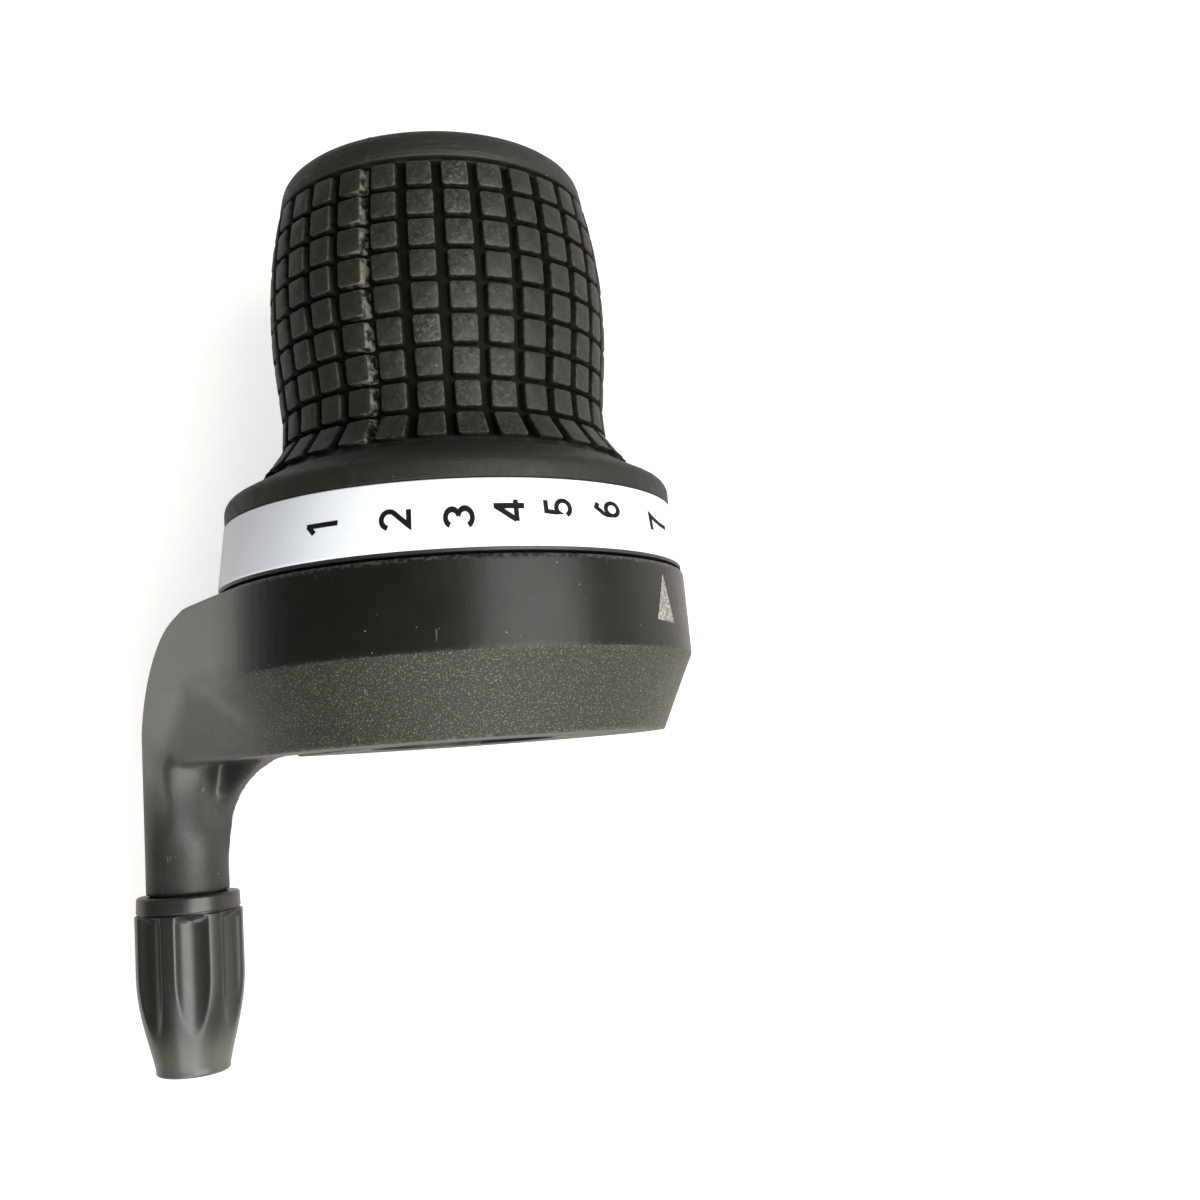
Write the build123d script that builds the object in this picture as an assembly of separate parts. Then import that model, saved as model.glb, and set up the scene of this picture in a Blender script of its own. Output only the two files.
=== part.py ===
from build123d import *
import os
from math import acos, atan2, cos, exp, hypot, radians, sin, sqrt, tan

os.makedirs("parts", exist_ok=True)

# A twist grip shifter for a bicycle handlebar. All sizes are millimetres and degrees.
# The finished frame has the bar along +Y (outboard), +X towards the rider and +Z up.
# Each piece is drawn about the bar: x up, y towards the rider, z outboard along the bar.
# Angles round the bar run from straight up towards the rider.
BAR_FRAME = Plane(origin=(0, 0, 0), x_dir=(0, 0, 1), z_dir=(0, 1, 0))

# Clearances
BAR_GAP = 0.05
RUN_GAP = 0.08
SEAT_GAP = 0.05
FACE_GAP = 0.05
TURN_GAP = 0.3
PASS_GAP = 0.1

# Handlebar and the tubes nested on it
BAR_D = 22.2
SLEEVE_WALL = 1.45
DRUM_WALL = 1.6
SLIT_WIDTH = 2.0

# Housing
HOUSING_R = 28.0
END_FACE_R = 24.1
RIM_R = 27.7
BEVEL_LENGTH = 8.7
HOUSING_LENGTH = 18.4
END_WALL = 1.6
RIM_WALL = 2.3
CLAMP_ROOM_LENGTH = 7.8
LEDGE_WIDTH = 4.0

# Side arm: it leaves the housing along a tangent flat and bends to run beside the bar
ARM_ANGLE = 53.9
ARM_REACH = 32.86
NOSE_R = 5.15
NOSE_LENGTH = 16.1
BEND_R = 14.5
BEND_EDGE_START = 1.4
BEND_SECTIONS = 5
WIRE_HOLE_R = 1.6
RIB_T = 2.0
RIB_SETBACK = 0.4
RIB_REACH = 20.0
RIB_FLAT_END = 6.0
RIB_FOOT = 2.2
RIB_DROP = 11.5

# Cover on the outer side of the bend
COVER_FROM = 50.0
COVER_HALF_WIDTH = 3.3
COVER_DEPTH = 1.65
COVER_RISE = 0.55
COVER_END = 3.2
COVER_SLOT_MARGIN = 5.0
COVER_SCREW_DROP = 1.2
COVER_SCREW_R = 0.75
COVER_SCREW_HEAD_R = 1.3
COVER_SCREW_LENGTH = 3.0

# Base flange inside the housing, its screws and the thrust washer
FLANGE_T = 1.6
BASE_SCREWS = 3
BASE_SCREW_ANGLE = 105.0
BASE_SCREW_R = 1.1
BASE_SCREW_HEAD_R = 1.9
BASE_SCREW_WALL = 0.6
BASE_SCREW_LENGTH = 6.5
THRUST_WASHER_T = 0.5
THRUST_WASHER_WIDTH = 4.0

# Clamp band, screw and nut
BAND_T = 1.5
BAND_WIDTH = 6.0
EAR_T = 2.6
EAR_END = 3.0
CLAMP_SCREW_R = 2.0
CLAMP_HEAD_R = 3.5
CLAMP_HEAD_LENGTH = 4.0
CLAMP_SCREW_LENGTH = 12.0
CLAMP_KEY = 3.0
CLAMP_KEY_DEPTH = 2.0
NUT_WIDTH = 7.0
NUT_T = 3.2
TOOL_GAP = 0.2

# Cable spool, index notches and stops on the drum
SPOOL_SHARE = 0.45
SPOOL_LIP = 0.5
GROOVE_FLOOR = 0.62
GROOVE_WIDTH = 1.8
INDEX_T = 3.1
GEAR_ANGLES = (0.0, 18.9, 33.0, 44.3, 54.7, 68.8, 85.5)
NOTCH_DEPTH = 0.9
NOTCH_HALF_ANGLE = 50.0
DETENT_ANGLE = 150.0
STOP_ANGLE = 100.0
STOP_WIDTH = 8.0
STOP_PLAY = 0.6
ANCHOR_ANGLE = -5.0
CABLE_HEAD_R = 2.0
CABLE_HEAD_PATH = 14.0
CABLE_HEAD_SINK = 0.4

# Detent leaf spring
LEAF_T = 0.5
LEAF_WIDTH = 2.6
LEAF_NOSE_HALF = 1.6
LEAF_NOSE_RISE = 1.5
LEAF_ARM_RISE = 1.0
LEAF_ROOM = 5.2
LEAF_POST_WIDTH = 2.4
LEAF_POST_DEPTH = 1.6

# Dial carrier and numbered ring
RIM_GAP = 0.3
DIAL_LIP = 0.35
DIAL_LIP_SETBACK = 0.15
DIAL_LENGTH = 7.35
DIAL_STEP = 0.1
DIAL_TAPER = 0.9
DIAL_WALL = 1.05
CARRIER_FLOOR = 2.4
CARRIER_WALL = 1.8
CARRIER_RIBS = 10
CARRIER_RIB_T = 1.4

# Rubber grip: skirt, barrel with rows of blocks, end lip
GRIP_LENGTH = 42.5
SKIRT_STEP = 0.1
SKIRT_BAND = 1.6
SHOULDER_R = 1.6
SHOULDER_TURN = 62.0
SKIRT_TOP_R = 21.6
SKIRT_HEIGHT = 5.25
BELLY_R = 20.4
BELLY_AT = 25.25
CROWN = 0.0089
FLARE = 2.9
FLARE_AT = 7.55
FLARE_FADE = 3.0
BLOCK_ROWS = 9
BLOCK_COLUMNS = 30
BLOCK_COLUMN_ANGLE = 2.4
BLOCK_HEIGHT = 1.2
ROW_GAP = 0.62
COLUMN_GAP = 1.25
COLUMN_FLOOR_RISE = 0.15
LIP_LENGTH = 3.95
LIP_TAPER = 0.7
LIP_ROUND = 2.5
KEY_COUNT = 6
KEY_WIDTH = 1.6
KEY_HEIGHT = 0.8
KEY_LENGTH = 34.0

# Outer end: snap ring and end washer
DRUM_SETBACK = 2.65
SNAP_RING_T = 1.0
SNAP_RING_WIDTH = 2.0
SNAP_GROOVE_DEPTH = 0.6
SNAP_RING_OPENING = 40.0
END_WASHER_T = 0.6
END_WASHER_R = 15.4
END_GAP = 0.15

# Cable adjuster on the arm's nose
SPIGOT_R = 4.4
SPIGOT_LENGTH = 1.9
INSERT_R = 3.5
INSERT_LENGTH = 9.5
BOLT_R = 2.45
BOLT_LENGTH = 26.5
BOLT_KEY_R = 3.1
BOLT_KEY_HALF = 2.6
BOLT_HEAD_R = 3.7
BOLT_HEAD_LENGTH = 6.2
BOLT_WIRE_R = 1.0
SOCKET_R = 2.6
SOCKET_DEPTH = 5.0
KNOB_LENGTH = 22.05
KNOB_R = 6.65
KNOB_COLLAR_R = 6.35
KNOB_COLLAR_LENGTH = 1.95
KNOB_LINE = 0.3
KNOB_END_R = 4.75
KNOB_END_ROUND = 0.6
KNOB_TAPER_AT = 7.2
KNOB_TAPER_BULGE = 0.55
KNOB_MOUTH_R = 3.95
KNOB_KEY_AT = 3.75
KNOB_KEY_LENGTH = 6.0
FLUTES = 7
FLUTE_ANGLE = 3.0
FLUTE_R = 3.2
FLUTE_DEPTH = 1.1
COIL_WIRE_R = 0.3
COIL_TURNS = 3
COIL_SPREAD = 1.6

# Radii that follow from the nested fits
bore_r = BAR_D / 2 + BAR_GAP
sleeve_r = bore_r + SLEEVE_WALL
drum_bore_r = sleeve_r + RUN_GAP
tube_r = drum_bore_r + DRUM_WALL
grip_bore_r = tube_r + SEAT_GAP
spool_room_r = RIM_R - RIM_WALL
dial_low_r = RIM_R - DIAL_STEP
dial_top_r = dial_low_r - DIAL_TAPER
skirt_r = dial_top_r - SKIRT_STEP
groove_r = tube_r + GROOVE_FLOOR
index_r = spool_room_r - LEAF_ROOM
spool_r = groove_r + SPOOL_SHARE * (index_r - groove_r)
clamp_room_r = spool_room_r - LEDGE_WIDTH
base_screw_place_r = clamp_room_r + BASE_SCREW_WALL + BASE_SCREW_R

# Heights along the bar, from the housing's inboard end face
ledge_z = END_WALL + CLAMP_ROOM_LENGTH
flange_top_z = ledge_z + FLANGE_T
thrust_washer_z = flange_top_z + FACE_GAP
drum_z = thrust_washer_z + THRUST_WASHER_T + FACE_GAP
groove_z = drum_z + SPOOL_LIP
cable_z = groove_z + GROOVE_WIDTH / 2
index_z = groove_z + GROOVE_WIDTH
carrier_z = index_z + INDEX_T
dial_lip_z = HOUSING_LENGTH + RIM_GAP
dial_z = dial_lip_z + DIAL_LIP
dial_top_z = dial_z + DIAL_LENGTH
grip_z = dial_top_z + SEAT_GAP
skirt_top_z = grip_z + SKIRT_HEIGHT
grip_top_z = grip_z + GRIP_LENGTH
lip_z = grip_top_z - LIP_LENGTH
row_pitch = (lip_z - skirt_top_z - ROW_GAP) / BLOCK_ROWS
drum_top_z = grip_top_z - DRUM_SETBACK
snap_ring_z = drum_top_z + 2 * FACE_GAP
end_hub_z = snap_ring_z + SNAP_RING_T + 2 * FACE_GAP
end_washer_z = grip_top_z + END_GAP
sleeve_top_z = end_washer_z - FACE_GAP

# Clamp places
clamp_z = END_WALL + CLAMP_ROOM_LENGTH / 2
band_r = sleeve_r + SEAT_GAP
clamp_screw_x = -(band_r + BAND_T + CLAMP_HEAD_R + TOOL_GAP)
ear_face = SLIT_WIDTH / 2 + EAR_T
tool_hole_r = CLAMP_HEAD_R + TOOL_GAP

# Arm places, in arm coordinates: x along the arm, y out of its flat, z along the bar
ARM_TURN = Rot(0, 0, -(90 + ARM_ANGLE))
arm_n = HOUSING_R - NOSE_R
bend_u = ARM_REACH - BEND_R
bend_z = cable_z - BEND_R
bend_axis = Axis((bend_u, 0, bend_z), (0, 1, 0))
nose_place = (ARM_TURN * Pos(ARM_REACH, arm_n, 0)).position
NOSE_AXIS = Pos(nose_place.X, nose_place.Y, 0)

# Adjuster heights, negative because it points inboard past the end face
nose_end_z = -NOSE_LENGTH
spigot_end_z = nose_end_z - SPIGOT_LENGTH
knob_top_z = nose_end_z - END_GAP
knob_end_z = knob_top_z - KNOB_LENGTH
key_top_z = knob_top_z - KNOB_KEY_AT
key_end_z = key_top_z - KNOB_KEY_LENGTH
coil_length = 2 * COIL_WIRE_R * (COIL_TURNS + 1) * COIL_SPREAD
bolt_head_z = key_end_z - coil_length - 2 * FACE_GAP
bolt_end_z = bolt_head_z - BOLT_HEAD_LENGTH
bolt_tip_z = bolt_end_z + BOLT_LENGTH
insert_top_z = spigot_end_z + INSERT_LENGTH


def turned(*outline):
    """Solid turned about the bar from (radius, height) corners."""
    return revolve(Plane.XZ * make_face(Polyline(*outline, close=True)), Axis.Z)


def ring(inner, outer, low, high):
    return turned((inner, low), (outer, low), (outer, high), (inner, high))


def ring_sector(inner, outer, low, high, middle, width):
    """Part of a ring, centred on one angle round the bar."""
    outline = Polyline((inner, low), (outer, low), (outer, high), (inner, high), close=True)
    solid = revolve(Plane.XZ * make_face(outline), Axis.Z, revolution_arc=width)
    return Rot(0, 0, middle - width / 2) * solid


def rod(radius, low, high):
    return Pos(0, 0, low) * Cylinder(radius, high - low, align=(Align.CENTER, Align.CENTER, Align.MIN))


def block(x_span, y_span, z_span):
    """Box from three (low, high) spans."""
    spans = (x_span, y_span, z_span)
    sizes = [high - low for low, high in spans]
    middles = [(high + low) / 2 for low, high in spans]
    return Pos(*middles) * Box(*sizes)


def round_the_bar(count, start):
    return [Rot(0, 0, start + 360 / count * i) for i in range(count)]


def save(solid, name):
    export_step(BAR_FRAME * solid, f"parts/{name}.step")


# Housing shell


def housing_outline(radius, height):
    """Round body and tangent snout at one height, in arm coordinates."""
    nose = Vector(ARM_REACH, arm_n)
    lean = atan2(ARM_REACH, arm_n) - acos((radius - NOSE_R) / hypot(ARM_REACH, arm_n))
    front = Vector(sin(lean), cos(lean))
    back_n = arm_n - NOSE_R
    back_turn = acos(back_n / radius)
    far = radians(180) + (back_turn + lean) / 2
    body_front = front * radius
    body_back = Vector(radius * sin(back_turn), back_n)
    body_far = Vector(radius * sin(far), radius * cos(far))
    nose_front = nose + front * NOSE_R
    nose_back = nose - Vector(0, NOSE_R)
    outline = [
        Line(body_front, nose_front),
        ThreePointArc(nose_front, nose + Vector(NOSE_R, 0), nose_back),
        Line(nose_back, body_back),
        ThreePointArc(body_back, body_far, body_front),
    ]
    return Pos(0, 0, height) * make_face(outline)


def snout_arch(place, half_width, low, top, round_r):
    """Cross-section across the arm: square below, rounded on top."""
    left = arm_n - half_width
    right = arm_n + half_width
    slant = round_r * (1 - sqrt(0.5))
    outline = [
        Polyline((left, top - round_r), (left, low), (right, low), (right, top - round_r)),
        ThreePointArc((right, top - round_r), (right - slant, top - slant), (right - round_r, top)),
        Line((right - round_r, top), (left + round_r, top)),
        ThreePointArc((left + round_r, top), (left + slant, top - slant), (left, top - round_r)),
    ]
    return Plane(origin=(place, 0, 0), x_dir=(0, 1, 0), z_dir=(1, 0, 0)) * make_face(outline)


def snout_corner():
    """What the bend's rounded back takes off the snout's square outer corner."""
    half = NOSE_R + SEAT_GAP
    top = cable_z + half
    start = snout_arch(0, NOSE_R + RIM_WALL, bend_z, HOUSING_LENGTH + RIM_WALL, RIM_WALL)
    end = snout_arch(bend_u, half, bend_z, top, BEND_EDGE_START)
    inner = snout_arch(bend_u, half, bend_z, cable_z, BEND_EDGE_START)
    outer = []
    for i in range(BEND_SECTIONS):
        share = i / (BEND_SECTIONS - 1)
        edge = BEND_EDGE_START + (half - SEAT_GAP - BEND_EDGE_START) * share
        section = snout_arch(bend_u, half, cable_z - half, top, edge)
        outer.append(section.rotate(bend_axis, 90 * share))
    kept = loft([start, end], ruled=True) + revolve(inner, bend_axis, revolution_arc=90) + loft(outer)
    reach = ARM_REACH + 2 * NOSE_R
    across = (arm_n - 2 * NOSE_R, arm_n + 2 * NOSE_R)
    around = block((0, reach), across, (bend_z, HOUSING_LENGTH + NOSE_R))
    return around - kept


def arm_rib():
    """Thin web in the inner corner between the end face and the nose."""
    start = ARM_REACH - RIB_REACH
    flat_end = ARM_REACH - RIB_FLAT_END
    foot = ARM_REACH - RIB_FOOT
    depth = -RIB_DROP
    outline = [
        Bezier((start, 0), (flat_end, 0), ((foot + flat_end) / 2, depth / 3), (foot, depth)),
        Polyline((foot, depth), (ARM_REACH, depth), (ARM_REACH, END_WALL), (start, END_WALL), (start, 0)),
    ]
    face = Plane.XZ.offset(-(arm_n - NOSE_R + RIB_SETBACK)) * make_face(outline)
    return extrude(face, -RIB_T)


def cover_section(inset, margin):
    """Cross-section of the bend's cover, grown by a margin, at the top of the bend."""
    foot = bend_z + BEND_R + NOSE_R - COVER_DEPTH - margin
    head = bend_z + BEND_R + NOSE_R + COVER_RISE + inset
    half = COVER_HALF_WIDTH + margin
    edge = COVER_RISE
    outline = Polyline(
        (arm_n - half, foot),
        (arm_n + half, foot),
        (arm_n + half, head - edge),
        (arm_n + half - edge, head),
        (arm_n - half + edge, head),
        (arm_n - half, head - edge),
        close=True,
    )
    return Plane(origin=(bend_u, 0, 0), x_dir=(0, 1, 0), z_dir=(1, 0, 0)) * make_face(outline)


def cover_solid(inset=0.0, margin=0.0):
    section = cover_section(inset, margin).rotate(bend_axis, COVER_FROM)
    bend = revolve(section, bend_axis, revolution_arc=90 - COVER_FROM)
    foot = cover_section(inset, margin).rotate(bend_axis, 90)
    return bend + extrude(foot, bend_z + COVER_END + margin, dir=(0, 0, -1))


def cover_screw_solid(margin=0.0):
    """Countersunk screw that goes into the nose from its outer side."""
    length = COVER_SCREW_LENGTH + margin
    head = COVER_SCREW_HEAD_R + margin
    shank = COVER_SCREW_R + margin
    slope = head - shank
    solid = turned((0, -length), (shank, -length), (shank, -slope), (head, 0), (0, 0))
    place = (ARM_REACH + NOSE_R + COVER_RISE, arm_n, -COVER_SCREW_DROP)
    return Plane(origin=place, z_dir=(1, 0, 0)) * solid


def wire_passage():
    """Hole for the shift wire: from the spool along its tangent, round the bend, down the nose."""
    distance = hypot(bend_u, arm_n)
    turn = atan2(bend_u, arm_n) - acos(groove_r / distance)
    start = Vector(bend_u, arm_n, cable_z)
    touch = Vector(groove_r * sin(turn), groove_r * cos(turn), cable_z)
    run = Plane(origin=start, z_dir=touch - start)
    entry = run * rod(WIRE_HOLE_R, -WIRE_HOLE_R, distance - groove_r)
    ring_face = Plane(origin=start, x_dir=(0, 1, 0), z_dir=(1, 0, 0)) * Circle(WIRE_HOLE_R)
    bend = revolve(ring_face, bend_axis, revolution_arc=90)
    drop = Pos(ARM_REACH, arm_n, 0) * rod(WIRE_HOLE_R, insert_top_z - PASS_GAP, bend_z)
    slot_face = Plane(origin=start, x_dir=(0, 1, 0), z_dir=(1, 0, 0)) * Pos(0, NOSE_R / 2) * Rectangle(
        2 * WIRE_HOLE_R, NOSE_R
    )
    slot_start = COVER_FROM + COVER_SLOT_MARGIN
    slot_turn = 90 - COVER_SLOT_MARGIN - slot_start
    slot = revolve(slot_face.rotate(bend_axis, slot_start), bend_axis, revolution_arc=slot_turn)
    return entry + bend + drop + slot


def make_housing_shell():
    heights = ((END_FACE_R, 0), (HOUSING_R, BEVEL_LENGTH), (RIM_R, HOUSING_LENGTH))
    shell = loft([housing_outline(radius, height) for radius, height in heights], ruled=True)
    shell += Pos(ARM_REACH, arm_n, 0) * rod(NOSE_R, nose_end_z, 0)
    shell -= snout_corner()
    shell += arm_rib()
    shell += Pos(ARM_REACH, arm_n, 0) * rod(SPIGOT_R, spigot_end_z, nose_end_z)
    shell -= wire_passage()
    shell -= Pos(ARM_REACH, arm_n, 0) * rod(INSERT_R + SEAT_GAP, spigot_end_z, insert_top_z)
    shell -= cover_solid(inset=NOSE_R, margin=SEAT_GAP)
    shell -= cover_screw_solid(SEAT_GAP)
    shell -= rod(spool_room_r, ledge_z, HOUSING_LENGTH)
    shell -= rod(clamp_room_r, END_WALL, ledge_z)
    shell -= rod(sleeve_r + PASS_GAP, 0, END_WALL)
    shell = ARM_TURN * shell
    screw_hole = Pos(base_screw_place_r, 0, 0) * rod(
        BASE_SCREW_R + SEAT_GAP, flange_top_z - BASE_SCREW_LENGTH - PASS_GAP, ledge_z
    )
    for turn in round_the_bar(BASE_SCREWS, BASE_SCREW_ANGLE):
        shell -= turn * screw_hole
    tool_hole = Plane(origin=(clamp_screw_x, ear_face, clamp_z), z_dir=(0, 1, 0))
    shell -= tool_hole * rod(tool_hole_r, 0, 2 * HOUSING_R)
    ear_half = ear_face + TOOL_GAP
    band_half = BAND_WIDTH / 2 + TOOL_GAP
    shell -= block(
        (clamp_screw_x - EAR_END - TOOL_GAP, 0),
        (-ear_half, ear_half),
        (clamp_z - band_half, clamp_z + band_half),
    )
    nut_half = NUT_WIDTH / 2 + TOOL_GAP / 2
    shell -= block(
        (clamp_screw_x - nut_half, clamp_screw_x + nut_half),
        (-ear_face - CLAMP_SCREW_LENGTH / 2, -ear_face),
        (clamp_z - nut_half, clamp_z + nut_half),
    )
    return shell


# Pieces fixed in the housing


def base_screw_solid(margin=0.0):
    slope = BASE_SCREW_HEAD_R - BASE_SCREW_R
    shank = BASE_SCREW_R + margin
    head = BASE_SCREW_HEAD_R + margin
    low = flange_top_z - BASE_SCREW_LENGTH
    top = flange_top_z
    solid = turned((0, low), (shank, low), (shank, top - slope), (head, top), (0, top))
    return Pos(base_screw_place_r, 0, 0) * solid


def make_base_screws():
    return Compound([turn * base_screw_solid() for turn in round_the_bar(BASE_SCREWS, BASE_SCREW_ANGLE)])


def leaf_path():
    """Middle line of the detent leaf: (distance along the tangent, distance from the bar)."""
    nose = index_r - NOTCH_DEPTH + LEAF_T
    shoulder = nose + LEAF_NOSE_RISE
    end = shoulder + LEAF_ARM_RISE
    half_span = sqrt((spool_room_r - PASS_GAP) ** 2 - (end + LEAF_T / 2) ** 2)
    return [
        (-half_span, end),
        (-LEAF_NOSE_HALF, shoulder),
        (0, nose),
        (LEAF_NOSE_HALF, shoulder),
        (half_span, end),
    ]


def leaf_z():
    """Lower edge of the leaf, midway up the index rim."""
    return index_z + (INDEX_T - LEAF_WIDTH) / 2


def make_detent_spring():
    path = leaf_path()
    inside = [(reach - LEAF_T / 2, along) for along, reach in path]
    outside = [(reach + LEAF_T / 2, along) for along, reach in reversed(path)]
    face = make_face(Polyline(*inside, *outside, close=True))
    return Rot(0, 0, DETENT_ANGLE) * Pos(0, 0, leaf_z()) * extrude(face, LEAF_WIDTH)


def make_base_sleeve():
    sleeve = ring(bore_r, sleeve_r, 0, sleeve_top_z)
    sleeve += ring(bore_r, spool_room_r - PASS_GAP, ledge_z, flange_top_z)
    post_in = spool_r + TURN_GAP
    first = STOP_ANGLE - STOP_WIDTH - STOP_PLAY
    last = STOP_ANGLE + GEAR_ANGLES[-1] + STOP_WIDTH + STOP_PLAY
    for angle in (first, last):
        post = ring_sector(post_in, index_r, flange_top_z, index_z - TURN_GAP, angle, STOP_WIDTH)
        sleeve += post
    leaf_end, leaf_reach = leaf_path()[-1]
    for side in (-1, 1):
        middle = side * (leaf_end - LEAF_POST_WIDTH / 2 - LEAF_T)
        post = block(
            (leaf_reach - LEAF_POST_DEPTH, leaf_reach),
            (middle - LEAF_POST_WIDTH / 2, middle + LEAF_POST_WIDTH / 2),
            (flange_top_z, leaf_z()),
        )
        sleeve += Rot(0, 0, DETENT_ANGLE) * post
    for turn in round_the_bar(BASE_SCREWS, BASE_SCREW_ANGLE):
        sleeve -= turn * base_screw_solid(SEAT_GAP)
    sleeve -= block((-2 * sleeve_r, 0), (-SLIT_WIDTH / 2, SLIT_WIDTH / 2), (0, ledge_z - PASS_GAP))
    groove_low = snap_ring_z - FACE_GAP
    groove_high = snap_ring_z + SNAP_RING_T + FACE_GAP
    sleeve -= ring(sleeve_r - SNAP_GROOVE_DEPTH, 2 * sleeve_r, groove_low, groove_high)
    return sleeve


def make_clamp_band():
    low = clamp_z - BAND_WIDTH / 2
    high = clamp_z + BAND_WIDTH / 2
    band = rod(band_r + BAND_T, low, high)
    band += block((clamp_screw_x - EAR_END, 0), (-ear_face, ear_face), (low, high))
    band -= rod(band_r, low, high)
    band -= block((-2 * clamp_room_r, 0), (-SLIT_WIDTH / 2, SLIT_WIDTH / 2), (low, high))
    hole = Plane(origin=(clamp_screw_x, -ear_face, clamp_z), z_dir=(0, 1, 0))
    return band - hole * rod(CLAMP_SCREW_R + PASS_GAP, 0, 2 * ear_face)


def make_clamp_screw():
    seat = Plane(origin=(clamp_screw_x, ear_face + FACE_GAP, clamp_z), z_dir=(0, 1, 0))
    screw = rod(CLAMP_HEAD_R, 0, CLAMP_HEAD_LENGTH)
    screw += rod(CLAMP_SCREW_R, -CLAMP_SCREW_LENGTH, 0)
    key = RegularPolygon(CLAMP_KEY / 2, 6, major_radius=False)
    screw -= Pos(0, 0, CLAMP_HEAD_LENGTH - CLAMP_KEY_DEPTH) * extrude(key, CLAMP_KEY_DEPTH)
    return seat * screw


def make_clamp_nut():
    seat = Plane(origin=(clamp_screw_x, -ear_face - FACE_GAP, clamp_z), x_dir=(1, 0, 0), z_dir=(0, -1, 0))
    nut = extrude(Rectangle(NUT_WIDTH, NUT_WIDTH), NUT_T)
    nut -= rod(CLAMP_SCREW_R + SEAT_GAP, 0, NUT_T)
    return seat * nut


def make_thrust_washer():
    inner = sleeve_r + PASS_GAP
    return ring(inner, inner + THRUST_WASHER_WIDTH, thrust_washer_z, thrust_washer_z + THRUST_WASHER_T)


def make_retaining_ring():
    inner = sleeve_r - SNAP_GROOVE_DEPTH + SEAT_GAP
    closed = 360 - SNAP_RING_OPENING
    return ring_sector(inner, inner + SNAP_RING_WIDTH, snap_ring_z, snap_ring_z + SNAP_RING_T, 0, closed)


def make_end_washer():
    """Cap washer pressed on the sleeve's end, with a thin flange over the rubber."""
    hub = sleeve_r + SEAT_GAP
    hub_out = grip_bore_r - TURN_GAP
    top = end_washer_z + END_WASHER_T
    return turned(
        (hub, end_hub_z),
        (hub_out, end_hub_z),
        (hub_out, end_washer_z),
        (END_WASHER_R, end_washer_z),
        (END_WASHER_R - END_WASHER_T / 2, top),
        (bore_r + PASS_GAP, top),
        (bore_r + PASS_GAP, end_washer_z),
        (hub, end_washer_z),
    )


def make_cable_cover():
    cover = cover_solid() - cover_screw_solid(SEAT_GAP)
    return ARM_TURN * cover


def make_cover_screw():
    return ARM_TURN * cover_screw_solid()


def make_thread_insert():
    return NOSE_AXIS * ring(BOLT_R + SEAT_GAP, INSERT_R, spigot_end_z, insert_top_z)


# Pieces that turn with the grip


def make_drum():
    low_seat = dial_low_r - DIAL_WALL - SEAT_GAP
    top_seat = dial_top_r - DIAL_WALL - SEAT_GAP
    spigot = spool_room_r - TURN_GAP
    lip = dial_low_r - DIAL_LIP_SETBACK
    floor = carrier_z + CARRIER_FLOOR
    drum = turned(
        (drum_bore_r, drum_z),
        (spool_r, drum_z),
        (spool_r, groove_z),
        (groove_r, groove_z),
        (groove_r, index_z),
        (index_r, index_z),
        (index_r, carrier_z),
        (spigot, carrier_z),
        (spigot, dial_lip_z),
        (lip, dial_lip_z),
        (lip, dial_z),
        (low_seat, dial_z),
        (top_seat, dial_top_z),
        (top_seat - CARRIER_WALL, dial_top_z),
        (low_seat - CARRIER_WALL, floor),
        (tube_r, floor),
        (tube_r, drum_top_z),
        (drum_bore_r, drum_top_z),
    )
    rib = block(
        (drum_bore_r + DRUM_WALL / 2, top_seat - CARRIER_WALL / 2),
        (-CARRIER_RIB_T / 2, CARRIER_RIB_T / 2),
        (floor - CARRIER_FLOOR / 2, dial_top_z),
    )
    drum += [turn * rib for turn in round_the_bar(CARRIER_RIBS, 0)]
    drum += [turn * grip_key() for turn in round_the_bar(KEY_COUNT, 0)]
    drum += ring_sector(spool_r + TURN_GAP, index_r - TURN_GAP, groove_z, index_z, STOP_ANGLE, STOP_WIDTH)
    notch_root = index_r - NOTCH_DEPTH
    notch_mouth = index_r + NOTCH_DEPTH
    half = (notch_mouth - notch_root) * tan(radians(NOTCH_HALF_ANGLE))
    notch_face = make_face(Polyline((notch_root, 0), (notch_mouth, half), (notch_mouth, -half), close=True))
    notch = Pos(0, 0, index_z) * extrude(notch_face, INDEX_T)
    drum -= [Rot(0, 0, DETENT_ANGLE - angle) * notch for angle in GEAR_ANGLES]
    pocket_r = CABLE_HEAD_R + PASS_GAP
    anchor = Plane(origin=(tube_r + CABLE_HEAD_R - CABLE_HEAD_SINK, 0, cable_z), z_dir=(0, 1, 0))
    drum -= Rot(0, 0, ANCHOR_ANGLE) * anchor * rod(pocket_r, 0, CABLE_HEAD_PATH)
    return drum


def grip_key(margin=0.0):
    """Rib along the drum's tube that keeps the rubber from slipping round."""
    half = KEY_WIDTH / 2 + margin
    middle = (grip_z + drum_top_z) / 2
    return block(
        (drum_bore_r + DRUM_WALL / 2, tube_r + KEY_HEIGHT + margin),
        (-half, half),
        (middle - KEY_LENGTH / 2 - margin, middle + KEY_LENGTH / 2 + margin),
    )


def make_indicator_ring():
    return turned(
        (dial_low_r - DIAL_WALL, dial_z),
        (dial_low_r, dial_z),
        (dial_top_r, dial_top_z),
        (dial_top_r - DIAL_WALL, dial_top_z),
    )


def barrel_r(height):
    """Radius of the block tops: a crowned barrel that flares out towards the skirt."""
    crown = CROWN * (height - grip_z - BELLY_AT) ** 2
    flare = FLARE * exp((grip_z + FLARE_AT - height) / FLARE_FADE)
    return BELLY_R - crown + flare


def block_rows():
    """Low and high edge of each row of blocks, from the skirt up."""
    first = skirt_top_z + ROW_GAP
    starts = [first + row_pitch * i for i in range(BLOCK_ROWS)]
    return [(start, start + row_pitch - ROW_GAP) for start in starts]


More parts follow.
